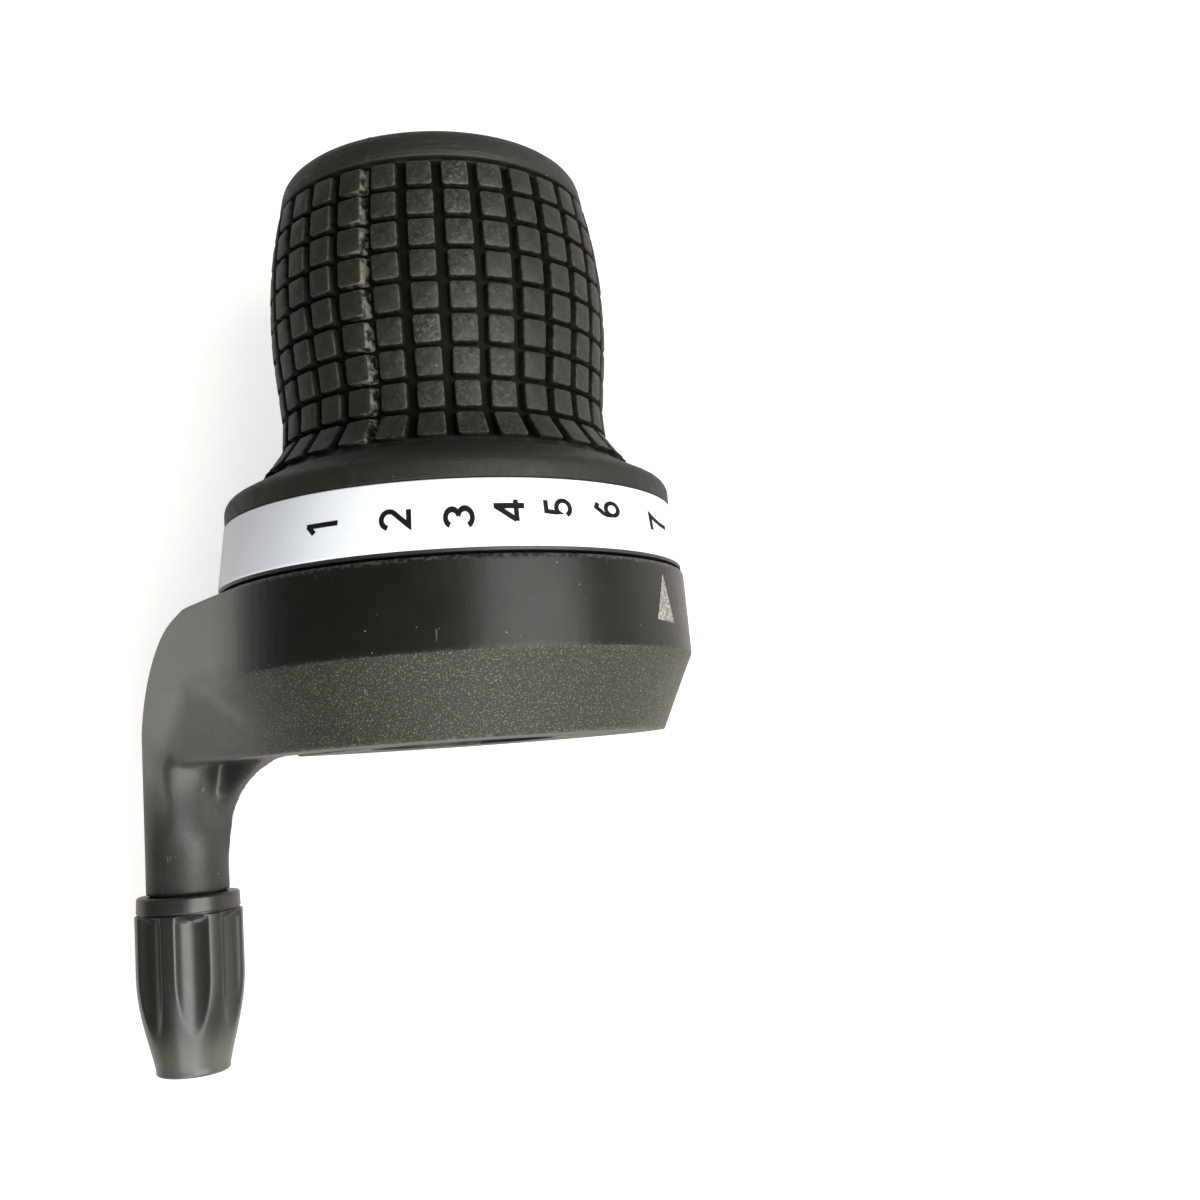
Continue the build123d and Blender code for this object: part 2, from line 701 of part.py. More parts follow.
def grip_outline():
    shoulder_z = grip_z + SKIRT_BAND
    shoulder_in = skirt_r - SHOULDER_R

    def shoulder(turn):
        return (shoulder_in + SHOULDER_R * cos(radians(turn)), shoulder_z + SHOULDER_R * sin(radians(turn)))

    rows = block_rows()
    edges = [
        Polyline((grip_bore_r, grip_z), (skirt_r, grip_z), (skirt_r, shoulder_z)),
        ThreePointArc(shoulder(0), shoulder(SHOULDER_TURN / 2), shoulder(SHOULDER_TURN)),
        Line(shoulder(SHOULDER_TURN), (SKIRT_TOP_R, skirt_top_z)),
    ]
    last = (SKIRT_TOP_R, skirt_top_z)
    for low, high in rows:
        floor = barrel_r(low) - BLOCK_HEIGHT
        middle = (low + high) / 2
        edges.append(Polyline(last, (floor, last[1]), (floor, low), (barrel_r(low), low)))
        edges.append(ThreePointArc((barrel_r(low), low), (barrel_r(middle), middle), (barrel_r(high), high)))
        last = (barrel_r(high), high)
    floor = barrel_r(lip_z) - BLOCK_HEIGHT
    lip_r = barrel_r(lip_z)
    lip_end_r = lip_r - LIP_TAPER
    round_z = grip_top_z - LIP_ROUND
    slant = LIP_ROUND * sqrt(0.5)
    lip_middle = (lip_end_r - LIP_ROUND + slant, round_z + slant)
    edges += [
        Polyline(last, (floor, last[1]), (floor, lip_z), (lip_r, lip_z), (lip_end_r, round_z)),
        ThreePointArc((lip_end_r, round_z), lip_middle, (lip_end_r - LIP_ROUND, grip_top_z)),
        Polyline((lip_end_r - LIP_ROUND, grip_top_z), (grip_bore_r, grip_top_z), (grip_bore_r, grip_z)),
    ]
    return make_face(edges)


def column_slot():
    """Cutter for one gap between two columns of blocks."""
    depth = BLOCK_HEIGHT - COLUMN_FLOOR_RISE
    low = skirt_top_z + ROW_GAP / 2
    high = lip_z - ROW_GAP / 2
    heights = [low] + [edge for edge, _ in block_rows()[1:]] + [high]
    floor = [(barrel_r(height) - depth, height) for height in heights]
    face = Plane.XZ * make_face(Polyline((skirt_r, low), *floor, (skirt_r, high), close=True))
    return extrude(face, COLUMN_GAP / 2, both=True)


def make_rubber_grip():
    grip = revolve(Plane.XZ * grip_outline(), Axis.Z)
    half_column = 180 / BLOCK_COLUMNS
    slot = column_slot()
    grip -= [turn * slot for turn in round_the_bar(BLOCK_COLUMNS, BLOCK_COLUMN_ANGLE + half_column)]
    grip -= [turn * grip_key(SEAT_GAP) for turn in round_the_bar(KEY_COUNT, 0)]
    return grip


# Cable adjuster


def keyed_rod(radius, half, low, high):
    """Rod with two flats."""
    return rod(radius, low, high) & block((-radius, radius), (-half, half), (low, high))


def make_adjuster_knob():
    barrel_top = knob_top_z - KNOB_COLLAR_LENGTH - KNOB_LINE
    taper_z = barrel_top - KNOB_TAPER_AT
    middle_z = (taper_z + knob_end_z) / 2
    middle_r = (KNOB_R + KNOB_END_R) / 2 + KNOB_TAPER_BULGE
    line_r = KNOB_COLLAR_R - KNOB_LINE
    outline = [
        Polyline(
            (0, knob_top_z),
            (KNOB_COLLAR_R - KNOB_LINE, knob_top_z),
            (KNOB_COLLAR_R, knob_top_z - KNOB_LINE),
            (KNOB_COLLAR_R, barrel_top + KNOB_LINE),
            (line_r, barrel_top + KNOB_LINE),
            (line_r, barrel_top),
            (KNOB_R - KNOB_LINE / 2, barrel_top),
            (KNOB_R, barrel_top - KNOB_LINE),
            (KNOB_R, taper_z),
        ),
        ThreePointArc((KNOB_R, taper_z), (middle_r, middle_z), (KNOB_END_R, knob_end_z + KNOB_END_ROUND)),
        Polyline(
            (KNOB_END_R, knob_end_z + KNOB_END_ROUND),
            (KNOB_END_R - KNOB_END_ROUND / 2, knob_end_z),
            (0, knob_end_z),
            (0, knob_top_z),
        ),
    ]
    knob = revolve(Plane.XZ * make_face(outline), Axis.Z)
    flute = Pos(KNOB_R - FLUTE_DEPTH + FLUTE_R, 0, 0) * rod(FLUTE_R, knob_end_z, knob_top_z)
    knob -= [turn * flute for turn in round_the_bar(FLUTES, FLUTE_ANGLE)]
    socket_z = spigot_end_z - END_GAP
    knob -= rod(SPIGOT_R + TURN_GAP / 2, socket_z, knob_top_z)
    knob -= rod(BOLT_KEY_R + PASS_GAP, key_top_z, socket_z)
    knob -= keyed_rod(BOLT_KEY_R + PASS_GAP, BOLT_KEY_HALF + PASS_GAP, key_end_z, key_top_z)
    knob -= rod(KNOB_MOUTH_R, knob_end_z, key_end_z)
    return NOSE_AXIS * knob


def make_adjuster_bolt():
    key_start = key_top_z + PASS_GAP
    bolt = rod(BOLT_R, key_start, bolt_tip_z)
    bolt += keyed_rod(BOLT_KEY_R, BOLT_KEY_HALF, bolt_head_z, key_start)
    bolt += rod(BOLT_HEAD_R, bolt_end_z, bolt_head_z)
    bolt -= rod(SOCKET_R, bolt_end_z, bolt_end_z + SOCKET_DEPTH)
    bolt -= rod(BOLT_WIRE_R, bolt_end_z, bolt_tip_z)
    return NOSE_AXIS * bolt


def make_adjuster_spring():
    coil_r = (KNOB_MOUTH_R + BOLT_KEY_R) / 2
    rise = coil_length - 2 * COIL_WIRE_R
    path = Helix(rise / COIL_TURNS, rise, coil_r)
    wire = Plane(origin=path @ 0, z_dir=path % 0) * Circle(COIL_WIRE_R)
    coil = sweep(wire, path)
    return NOSE_AXIS * Pos(0, 0, bolt_head_z + FACE_GAP + COIL_WIRE_R) * coil


save(make_housing_shell(), "housing_shell")
save(make_base_sleeve(), "base_sleeve")
save(make_base_screws(), "base_screws")
save(make_clamp_band(), "clamp_band")
save(make_clamp_screw(), "clamp_screw")
save(make_clamp_nut(), "clamp_nut")
save(make_detent_spring(), "detent_spring")
save(make_thrust_washer(), "thrust_washer")
save(make_retaining_ring(), "retaining_ring")
save(make_end_washer(), "end_washer")
save(make_cable_cover(), "cable_cover")
save(make_cover_screw(), "cover_screw")
save(make_thread_insert(), "thread_insert")
save(make_drum(), "drum")
save(make_indicator_ring(), "indicator_ring")
save(make_rubber_grip(), "rubber_grip")
save(make_adjuster_knob(), "adjuster_knob")
save(make_adjuster_spring(), "adjuster_spring")
save(make_adjuster_bolt(), "adjuster_bolt")
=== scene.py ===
import math

import bmesh
import bpy
import numpy as np
from mathutils import Matrix, Vector


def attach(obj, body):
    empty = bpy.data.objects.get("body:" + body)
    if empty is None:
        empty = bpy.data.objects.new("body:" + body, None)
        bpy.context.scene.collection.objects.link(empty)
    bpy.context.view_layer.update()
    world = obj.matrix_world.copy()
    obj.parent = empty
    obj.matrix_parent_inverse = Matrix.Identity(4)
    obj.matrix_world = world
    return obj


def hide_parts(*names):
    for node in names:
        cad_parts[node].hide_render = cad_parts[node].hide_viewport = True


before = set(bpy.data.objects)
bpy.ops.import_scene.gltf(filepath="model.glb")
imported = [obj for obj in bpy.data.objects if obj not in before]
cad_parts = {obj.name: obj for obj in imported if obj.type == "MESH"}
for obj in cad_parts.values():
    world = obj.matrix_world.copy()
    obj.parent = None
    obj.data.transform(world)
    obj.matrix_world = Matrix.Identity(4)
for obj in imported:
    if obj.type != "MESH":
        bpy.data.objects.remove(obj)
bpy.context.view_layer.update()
MM = 0.001

# Sizes are in millimetres. The bar runs along Y, and angles go from +Z towards +X.

# Rubber grip
GRIP_LOW = 26.45
SKIRT_R = 26.6
SKIRT_EDGE = 29.0
SKIRT_TOP = 31.7
SKIRT_TOP_R = 21.6
LIP_LOW = 65.0
GRIP_TOP = 68.95
GRIP_BORE = 14.33
BELLY_R = 20.4
BELLY_AT = 51.7
CROWN = 0.0089
FLARE = 2.9
FLARE_AT = 34.0
FLARE_FADE = 3.0
BLOCK_HEIGHT = 1.2
BLOCK_ROWS = 9
BLOCK_COLUMNS = 30
FIRST_ROW = 33.826
ROW_PITCH = 3.631
COLUMN_ANGLE = -3.6
PARTED_COLUMN = -1.5
PARTING_ANGLE = -16.0
PARTING_HEIGHT = 0.11
PARTING_WIDTH = 0.6

# Numbered ring
DIAL_LOW = 19.05
DIAL_TOP = 26.4
DIAL_LOW_R = 27.6
DIAL_TOP_R = 26.7
DIAL_WALL = 1.05

# Housing and arm. The cosine and sine turn X and Z into the arm's own directions, out and up.
HOUSING_R = 28.0
HOUSING_DRAFT = 0.3
SIDE_LOW = 8.7
SIDE_LENGTH = 9.7
ARM_COS = 0.589
ARM_SIN = 0.808
WEB_LOW = 18.1
WEB_TOP = 20.1
NOSE_OUT = 32.85
NOSE_UP = 22.85
NOSE_R = 5.15
NOSE_BLEND = 10.6
HOUSING_CELL = 0.28
HOUSING_FACES = 170000

# Adjuster knob
KNOB_X = -37.819
KNOB_Z = -13.092
KNOB_TOP = -16.25
KNOB_END = -38.3
KNOB_R = 6.65
KNOB_TIP_R = 4.55
KNOB_SHOULDER = KNOB_TOP - 2.25
KNOB_SOCKET_LOW = -26.0

# Table and camera
TABLE_TOP = -28.3
PHOTO_PIXELS = 1200.0
FOCAL_PIXELS = 1300.18
SENSOR = 36.0
CAMERA_PLACE = Vector((17.48, -3.12, 156.33))
CAMERA_FORWARD = Vector((0.0, 0.12178, -0.99256))
CAMERA_UP = Vector((0.07201, 0.98998, 0.12146))


# Node trees


class Tree:
    """Short calls for laying out one node tree."""

    def __init__(self, tree):
        self.tree = tree

    def put(self, socket, value):
        if isinstance(value, bpy.types.NodeSocket):
            self.tree.links.new(value, socket)
        else:
            socket.default_value = value

    def add(self, kind, inputs=None, **settings):
        node = self.tree.nodes.new(kind)
        for name, value in settings.items():
            setattr(node, name, value)
        for key, value in (inputs or {}).items():
            self.put(node.inputs[key], value)
        return node

    def sum(self, operation, a, b=0.0, c=0.0):
        node = self.add("ShaderNodeMath", operation=operation)
        for socket, value in zip(node.inputs, (a, b, c)):
            self.put(socket, value)
        return node.outputs[0]

    def ramp(self, value, low, high):
        """0 at low, 1 at high, smooth between."""
        node = self.add("ShaderNodeMapRange", interpolation_type="SMOOTHSTEP")
        self.put(node.inputs["Value"], value)
        self.put(node.inputs["From Min"], low)
        self.put(node.inputs["From Max"], high)
        return node.outputs["Result"]

    def stored(self, geometry, name, value):
        """Geometry with a value kept on each point under a name."""
        kept = {"Geometry": geometry, "Name": name, "Value": value}
        return self.add("GeometryNodeStoreNamedAttribute", kept, data_type="FLOAT", domain="POINT").outputs[0]


class Finish(Tree):
    """A material with one principled shader and patterns on object coordinates."""

    def __init__(self, name, roughness, **sockets):
        self.material = bpy.data.materials.new(name)
        self.material.use_nodes = True
        super().__init__(self.material.node_tree)
        self.shader = self.tree.nodes["Principled BSDF"]
        self.shader.inputs["Roughness"].default_value = roughness
        for socket, value in sockets.items():
            self.shader.inputs[socket.replace("_", " ")].default_value = value
        self.place = self.add("ShaderNodeTexCoord").outputs["Object"]
        split = self.add("ShaderNodeSeparateXYZ", {0: self.place})
        self.x, self.y, self.z = split.outputs

    def noise(self, size_mm, detail=3.0, stretch=None):
        place = self.place
        if stretch:
            place = self.add("ShaderNodeMapping", {"Vector": self.place, "Scale": stretch}).outputs[0]
        grain = {"Vector": place, "Scale": 1.0 / (size_mm * MM), "Detail": detail}
        return self.add("ShaderNodeTexNoise", grain).outputs[0]

    def cells(self, size_mm):
        grain = {"Vector": self.place, "Scale": 1.0 / (size_mm * MM)}
        return self.add("ShaderNodeTexVoronoi", grain).outputs["Distance"]

    def attribute(self, name):
        return self.add("ShaderNodeAttribute", attribute_name=name).outputs["Fac"]

    def mix(self, factor, a, b):
        node = self.add("ShaderNodeMix", data_type="RGBA")
        self.put(node.inputs[0], factor)
        self.put(node.inputs[6], a)
        self.put(node.inputs[7], b)
        return node.outputs[2]

    def over(self, shade, mask, amount, colour):
        """Shade with a colour laid over it where the mask is, by an amount."""
        return self.mix(self.sum("MULTIPLY", mask, amount), shade, colour)

    def colour(self, value):
        self.put(self.shader.inputs["Base Color"], value)

    def rough(self, value):
        self.put(self.shader.inputs["Roughness"], value)

    def bump(self, height, depth_mm, strength=1.0):
        node = self.add("ShaderNodeBump", {"Strength": strength, "Distance": depth_mm * MM, "Height": height})
        self.put(self.shader.inputs["Normal"], node.outputs[0])


def tone(red, green, blue):
    return (red, green, blue, 1.0)


def grip_rubber_finish():
    """Dull warm black rubber: grained, dusty, scuffed and pitted block tops, with painted shade in the
    grooves and on the side columns' tops, and painted highlights on block rims and parted walls.
    """
    f = Finish("grip_rubber", 0.62)
    wear = f.attribute("wear")
    top = f.attribute("top")
    rim_wear_and_sheen = f.attribute("rim_wear_and_sheen")
    flash = f.attribute("flash")
    worn_top = f.sum("MULTIPLY", wear, top)
    shade = f.mix(f.noise(5.0), tone(0.0115, 0.0112, 0.0080), tone(0.0225, 0.0220, 0.0163))
    skirt = f.ramp(f.y, (SKIRT_TOP + 0.3) * MM, (SKIRT_TOP - 0.3) * MM)
    shade = f.over(shade, skirt, 0.6, tone(0.008, 0.0078, 0.0056))
    scuffs = f.ramp(f.noise(0.45, 6.0), 0.5, 0.68)
    shade = f.over(shade, scuffs, worn_top, tone(0.092, 0.090, 0.072))
    # Painted shade: block tops away from the middle columns are darkened, as less light reaches them there.
    side_top_shade = f.sum("MULTIPLY", top, f.sum("SUBTRACT", 1.0, wear))
    shade = f.over(shade, side_top_shade, 0.4, tone(0.004, 0.0039, 0.0028))
    holes = f.ramp(f.noise(0.5, 4.0), 0.45, 0.37)
    shade = f.over(shade, holes, worn_top, tone(0.004, 0.004, 0.003))
    dust = f.ramp(f.cells(1.7), 0.075, 0.045)
    shade = f.over(shade, dust, f.ramp(f.noise(9.0), 0.5, 0.66), tone(0.17, 0.165, 0.145))
    above_skirt = f.ramp(f.y, (SKIRT_TOP + 0.2) * MM, (SKIRT_TOP + 0.8) * MM)
    below_lip = f.ramp(f.y, (LIP_LOW + 0.1) * MM, (LIP_LOW - 0.3) * MM)
    barrel = f.sum("MULTIPLY", above_skirt, below_lip)
    # Painted shade: the grooves between the blocks are darkened nearly to black and reflect less.
    groove_shade = f.sum("MULTIPLY", barrel, f.sum("SUBTRACT", 1.0, top))
    shade = f.over(shade, groove_shade, 0.85, tone(0.0035, 0.0034, 0.0026))
    # Block rims lightened: partly real wear on the middle columns, partly a painted highlight.
    edge = f.sum("MULTIPLY", rim_wear_and_sheen, f.sum("ADD", f.sum("MULTIPLY", wear, 0.6), 0.3))
    edge = f.sum("MULTIPLY", edge, f.ramp(f.noise(0.7, 3.0), 0.3, 0.6))
    shade = f.mix(edge, shade, tone(0.088, 0.086, 0.069))
    # Painted highlight: patchy light streaks on the parted column's right walls stand in for the light they
    # reflect.
    parted_right_wall = f.sum("MULTIPLY", flash, f.ramp(f.noise(0.8, 4.0), 0.42, 0.6))
    shade = f.mix(parted_right_wall, shade, tone(0.115, 0.112, 0.092))
    f.colour(shade)
    f.put(f.shader.inputs["Specular IOR Level"], f.sum("SUBTRACT", 0.34, f.sum("MULTIPLY", groove_shade, 0.28)))
    f.rough(f.sum("ADD", f.sum("MULTIPLY", f.noise(1.2), 0.28), 0.42))
    pits = f.sum("SUBTRACT", f.ramp(f.cells(0.55), 0.05, 0.3), 1.0)
    on_lip = f.ramp(f.y, (LIP_LOW + 0.3) * MM, (LIP_LOW + 0.8) * MM)
    lip = f.sum("MULTIPLY", on_lip, f.noise(1.1, 3.0, (0.5, 2.2, 0.5)))
    height = f.sum("ADD", f.sum("MULTIPLY", pits, worn_top), f.sum("MULTIPLY", f.noise(0.16, 4.0), 0.6))
    f.bump(f.sum("ADD", height, f.sum("MULTIPLY", lip, 2.0)), 0.09, 0.95)
    return f.material


def housing_finish():
    """Black moulded plastic: polished round side, fine olive grain on the bevel, dark satin on the arm, with
    painted sheen, painted table reflection, painted dark band and painted ridge highlight on its face.
    """
    f = Finish("housing_plastic", 0.36)
    bevel = f.ramp(f.y, (SIDE_LOW + 0.15) * MM, (SIDE_LOW - 0.15) * MM)
    out = f.sum("ADD", f.sum("MULTIPLY", f.x, -ARM_COS), f.sum("MULTIPLY", f.z, -ARM_SIN))
    up = f.sum("ADD", f.sum("MULTIPLY", f.x, -ARM_SIN), f.sum("MULTIPLY", f.z, ARM_COS))
    arm = f.sum("MULTIPLY", f.ramp(out, -4.0 * MM, 8.0 * MM), f.ramp(up, 6.0 * MM, 14.0 * MM))
    face = f.ramp(up, 22.5 * MM, 27.2 * MM)
    fall = f.sum("ADD", f.y, f.sum("MULTIPLY", out, 0.857))
    high = f.sum("MAXIMUM", f.ramp(fall, 19.0 * MM, 26.5 * MM), f.ramp(f.y, 6.6 * MM, 11.0 * MM))
    table_reflection = f.sum("MULTIPLY", f.sum("MULTIPLY", face, high), f.ramp(f.y, -7.0 * MM, 6.0 * MM))
    across = f.sum("ADD", f.sum("MULTIPLY", out, -0.493), f.sum("MULTIPLY", f.y, 0.87))
    near = f.sum("ABSOLUTE", f.sum("SUBTRACT", across, 2.2 * MM))
    ridge_highlight = f.sum("MULTIPLY", f.ramp(near, 2.0 * MM, 0.0), f.ramp(f.y, 1.0 * MM, 5.0 * MM))
    ridge_highlight = f.sum("MULTIPLY", ridge_highlight, f.ramp(f.y, 10.0 * MM, 8.2 * MM))
    ridge_highlight = f.sum("MULTIPLY", ridge_highlight, f.ramp(up, 20.0 * MM, 23.0 * MM))
    off_bend = f.sum("ABSOLUTE", f.sum("SUBTRACT", fall, 21.8 * MM))
    dark_reflection = f.sum("MULTIPLY", f.ramp(off_bend, 4.5 * MM, 0.0), face)
    dark_reflection = f.sum("MULTIPLY", dark_reflection, f.ramp(f.y, 10.5 * MM, 4.0 * MM))
    speckle = f.ramp(f.noise(0.17, 2.0), 0.52, 0.7)
    black = f.mix(f.noise(6.0), tone(0.006, 0.0062, 0.0048), tone(0.011, 0.0114, 0.0088))
    olive = f.mix(speckle, tone(0.025, 0.0262, 0.0195), tone(0.115, 0.119, 0.093))
    satin = f.mix(f.noise(4.0), tone(0.017, 0.0169, 0.0145), tone(0.028, 0.0277, 0.024))
    # Painted sheen: the arm's outer face is a little lighter above the nose.
    satin = f.over(satin, face, f.ramp(f.y, -9.0 * MM, 1.0 * MM), tone(0.046, 0.0456, 0.0392))
    # Painted reflection: the upper part of the arm's outer face turns pale grey, standing in for the white
    # table it mirrors.
    satin = f.mix(table_reflection, satin, tone(0.185, 0.184, 0.166))
    # Painted reflection: a darker band down the arm's face stands in for the object's shadow on the table
    # mirrored there.
    satin = f.over(satin, dark_reflection, 0.45, tone(0.020, 0.0198, 0.017))
    # Painted highlight along the crease where the bevel meets the arm's face.
    satin = f.over(satin, ridge_highlight, 0.5, tone(0.14, 0.138, 0.122))
    satin = f.over(satin, speckle, 0.16, tone(0.16, 0.16, 0.14))
    shade = f.mix(bevel, black, olive)
    shade = f.mix(arm, shade, satin)
    edge = f.sum("MULTIPLY", f.attribute("edge"), f.ramp(f.noise(0.5, 4.0), 0.42, 0.62))
    edge = f.sum("MULTIPLY", edge, f.ramp(f.y, -1.5 * MM, 0.0))
    shade = f.over(shade, edge, 0.55, tone(0.12, 0.12, 0.104))
    scratches = f.ramp(f.noise(0.7, 2.0, (1.0, 0.16, 1.0)), 0.735, 0.765)
    shade = f.over(shade, scratches, 0.4, tone(0.16, 0.16, 0.145))
    dust = f.ramp(f.cells(1.5), 0.06, 0.035)
    dust = f.sum("MULTIPLY", dust, f.ramp(f.noise(7.0), 0.42, 0.6))
    shade = f.over(shade, dust, 0.8, tone(0.26, 0.26, 0.23))
    f.colour(shade)
    sheen = f.sum("MULTIPLY", arm, f.ramp(f.y, -20.0 * MM, -2.0 * MM))
    f.put(f.shader.inputs["Specular IOR Level"], f.sum("ADD", f.sum("MULTIPLY", sheen, 0.4), 0.27))
    worn = f.sum("MULTIPLY", f.noise(3.0, 4.0), 0.12)
    plain = f.sum("ADD", f.sum("MULTIPLY", f.sum("MAXIMUM", bevel, arm), 0.12), 0.29)
    f.rough(f.sum("ADD", plain, worn))
    off_arm = f.sum("SUBTRACT", 1.0, f.sum("MULTIPLY", arm, 0.7))
    coarse = f.sum("ADD", f.sum("MULTIPLY", bevel, off_arm), 0.12)
    f.bump(f.sum("MULTIPLY", f.noise(0.2, 3.0), coarse), 0.09, 0.9)
    return f.material


def dial_finish():
    """Glossy white ring, with painted shade that turns it bluish grey away from the rider, on the side away
    from the lamps, and a little cream at its far edge.
    """
    f = Finish("dial_white", 0.22, Coat_Weight=0.25, Coat_Roughness=0.08)
    # Painted shade: the ring is bluish grey towards -X and white towards +X.
    side = f.ramp(f.x, -24.0 * MM, 18.0 * MM)
    shade = f.mix(side, tone(0.78, 0.815, 0.88), tone(0.86, 0.87, 0.88))
    edge = f.ramp(f.x, -22.5 * MM, -26.5 * MM)
    shade = f.over(shade, edge, 0.6, tone(0.86, 0.84, 0.76))
    soil = f.ramp(f.noise(1.6, 5.0), 0.66, 0.8)
    shade = f.over(shade, soil, 0.2, tone(0.5, 0.49, 0.46))
    f.colour(shade)
    f.rough(f.sum("ADD", f.sum("MULTIPLY", f.noise(2.0), 0.12), 0.16))
    f.bump(f.noise(2.5, 2.0), 0.02, 0.4)
    return f.material


def knob_finish():
    """Dark moulded plastic, worn satin, with faint flow streaks along the knob and a painted highlight that
    makes the tip paler.
    """
    f = Finish("knob_plastic", 0.36, Specular_IOR_Level=0.5)
    streaks = f.noise(1.4, 3.0, (1.0, 0.12, 1.0))
    shade = f.mix(streaks, tone(0.011, 0.011, 0.0094), tone(0.023, 0.023, 0.0193))
    # Painted highlight: the knob turns lighter towards its tip, which faces the front lamp.
    tip = f.ramp(f.y, (KNOB_END + 7.3) * MM, (KNOB_END + 1.3) * MM)
    f.colour(f.over(shade, tip, 0.8, tone(0.09, 0.0905, 0.076)))
    f.rough(f.sum("ADD", f.sum("MULTIPLY", f.noise(0.8, 3.0), 0.16), 0.24))
    f.bump(f.sum("ADD", streaks, f.sum("MULTIPLY", f.noise(0.3), 0.3)), 0.03, 0.35)
    return f.material


def numeral_finish():
    f = Finish("numeral_ink", 0.62, Specular_IOR_Level=0.12)
    worn = f.ramp(f.noise(0.35, 4.0), 0.6, 0.8)
    f.colour(f.mix(worn, tone(0.006, 0.006, 0.007), tone(0.04, 0.04, 0.043)))
    f.bump(f.noise(0.3), 0.02, 0.4)
    return f.material


def pointer_finish():
    """Silver-grey print with a coarse speckle."""
    f = Finish("pointer_print", 0.45, Metallic=0.25)
    specks = f.ramp(f.noise(0.32, 4.0), 0.42, 0.62)
    f.colour(f.mix(specks, tone(0.15, 0.148, 0.138), tone(0.37, 0.365, 0.345)))
    f.bump(specks, 0.03, 0.5)
    return f.material


def inner_plastic_finish():
    f = Finish("inner_plastic", 0.45)
    f.colour(f.mix(f.noise(3.0), tone(0.011, 0.011, 0.011), tone(0.021, 0.021, 0.02)))
    f.rough(f.sum("ADD", f.sum("MULTIPLY", f.noise(1.0), 0.2), 0.36))
    f.bump(f.noise(0.3), 0.03, 0.4)
    return f.material


def washer_finish():
    f = Finish("pale_nylon", 0.4)
    f.colour(f.mix(f.noise(2.0), tone(0.62, 0.61, 0.57), tone(0.74, 0.73, 0.70)))
    f.bump(f.noise(0.4), 0.02, 0.3)
    return f.material


def metal_finish(name, dark, light, roughness):
    """Turned or drawn metal with fine drag lines."""
    f = Finish(name, roughness, Metallic=1.0)
    lines = f.noise(0.25, 3.0, (1.0, 6.0, 1.0))
    f.colour(f.mix(lines, dark, light))
    f.rough(f.sum("ADD", f.sum("MULTIPLY", lines, 0.18), roughness - 0.09))
    f.bump(lines, 0.015, 0.4)
    return f.material


# Mesh pieces


def placed(name, data):
    """Object of a mesh, lamp or camera, at the origin."""
    thing = bpy.data.objects.new(name, data)
    bpy.context.collection.objects.link(thing)
    return thing


def applied(thing):
    """Plain mesh of an object as its modifiers show it. The object goes."""
    shown = thing.evaluated_get(bpy.context.evaluated_depsgraph_get())
    mesh = bpy.data.meshes.new_from_object(shown)
    bpy.data.objects.remove(thing)
    return mesh


def outward(bm, name):
    """Mesh of a built shape, with its faces outward."""
    bmesh.ops.recalc_face_normals(bm, faces=bm.faces)
    mesh = bpy.data.meshes.new(name)
    bm.to_mesh(mesh)
    bm.free()
    return mesh


def new_piece(name, mesh, material, body, nodes=()):
    """Finished mesh at the origin, riding on its body and standing for its solids."""
    piece = placed(name, mesh)
    if material.name not in mesh.materials:
        mesh.materials.clear()
        mesh.materials.append(material)
    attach(piece, body)
    if nodes:
        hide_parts(*nodes)
    return piece


def soften(mesh, angle=38.0):
    mesh.shade_smooth()
    mesh.set_sharp_from_angle(angle=math.radians(angle))


def rounded(corners, steps=5):
    """Closed outline with each (radius, height, fillet) corner rounded."""
    points = []
    count = len(corners)
    for i, (r, y, fillet) in enumerate(corners):
        here = Vector((r, y))
        if not fillet:
            points.append(here)
            continue
        before = (Vector(corners[i - 1][:2]) - here).normalized()
        after = (Vector(corners[(i + 1) % count][:2]) - here).normalized()
        half = before.angle(after) / 2
        reach = fillet / math.tan(half)
        centre = here + (before + after).normalized() * (fillet / math.sin(half))
        start = here + before * reach - centre
        end = here + after * reach - centre
        turn = start.angle_signed(end)
        for k in range(steps + 1):
            arm = start.copy()
            arm.rotate(Matrix.Rotation(-turn * k / steps, 2))
            points.append(centre + arm)
    return points


def lathe(name, outline, steps, centre=(0.0, 0.0), swell=None):
    """Closed solid turned about a line along the bar. The outline runs outside first, upwards."""
    bm = bmesh.new()
    rings = []
    for k in range(steps):
        turn = 2 * math.pi * k / steps
        ring = []
        for r, y in outline:
            out = r + (swell(turn, r, y) if swell else 0.0)
            place = (centre[0] + out * math.sin(turn), y, centre[1] + out * math.cos(turn))
            ring.append(bm.verts.new(Vector(place) * MM))
        rings.append(ring)
    size = len(outline)
    for k in range(steps):
        here, there = rings[k], rings[(k + 1) % steps]
        for i in range(size):
            j = (i + 1) % size
            bm.faces.new((here[i], there[i], there[j], here[j]))
    return outward(bm, name)


def barrel_r(y):
    return BELLY_R - CROWN * (y - BELLY_AT) ** 2 + FLARE * math.exp((FLARE_AT - y) / FLARE_FADE)


def parting_line(turn, r, y):
    """Low mould ridge along the skirt and the lip."""
    off = (math.degrees(turn) - PARTING_ANGLE + 180.0) % 360.0 - 180.0
    if r < GRIP_BORE + 1.0 or SKIRT_TOP - 0.2 < y < LIP_LOW + 0.2:
        return 0.0
    return PARTING_HEIGHT * math.exp(-((off / PARTING_WIDTH) ** 2))


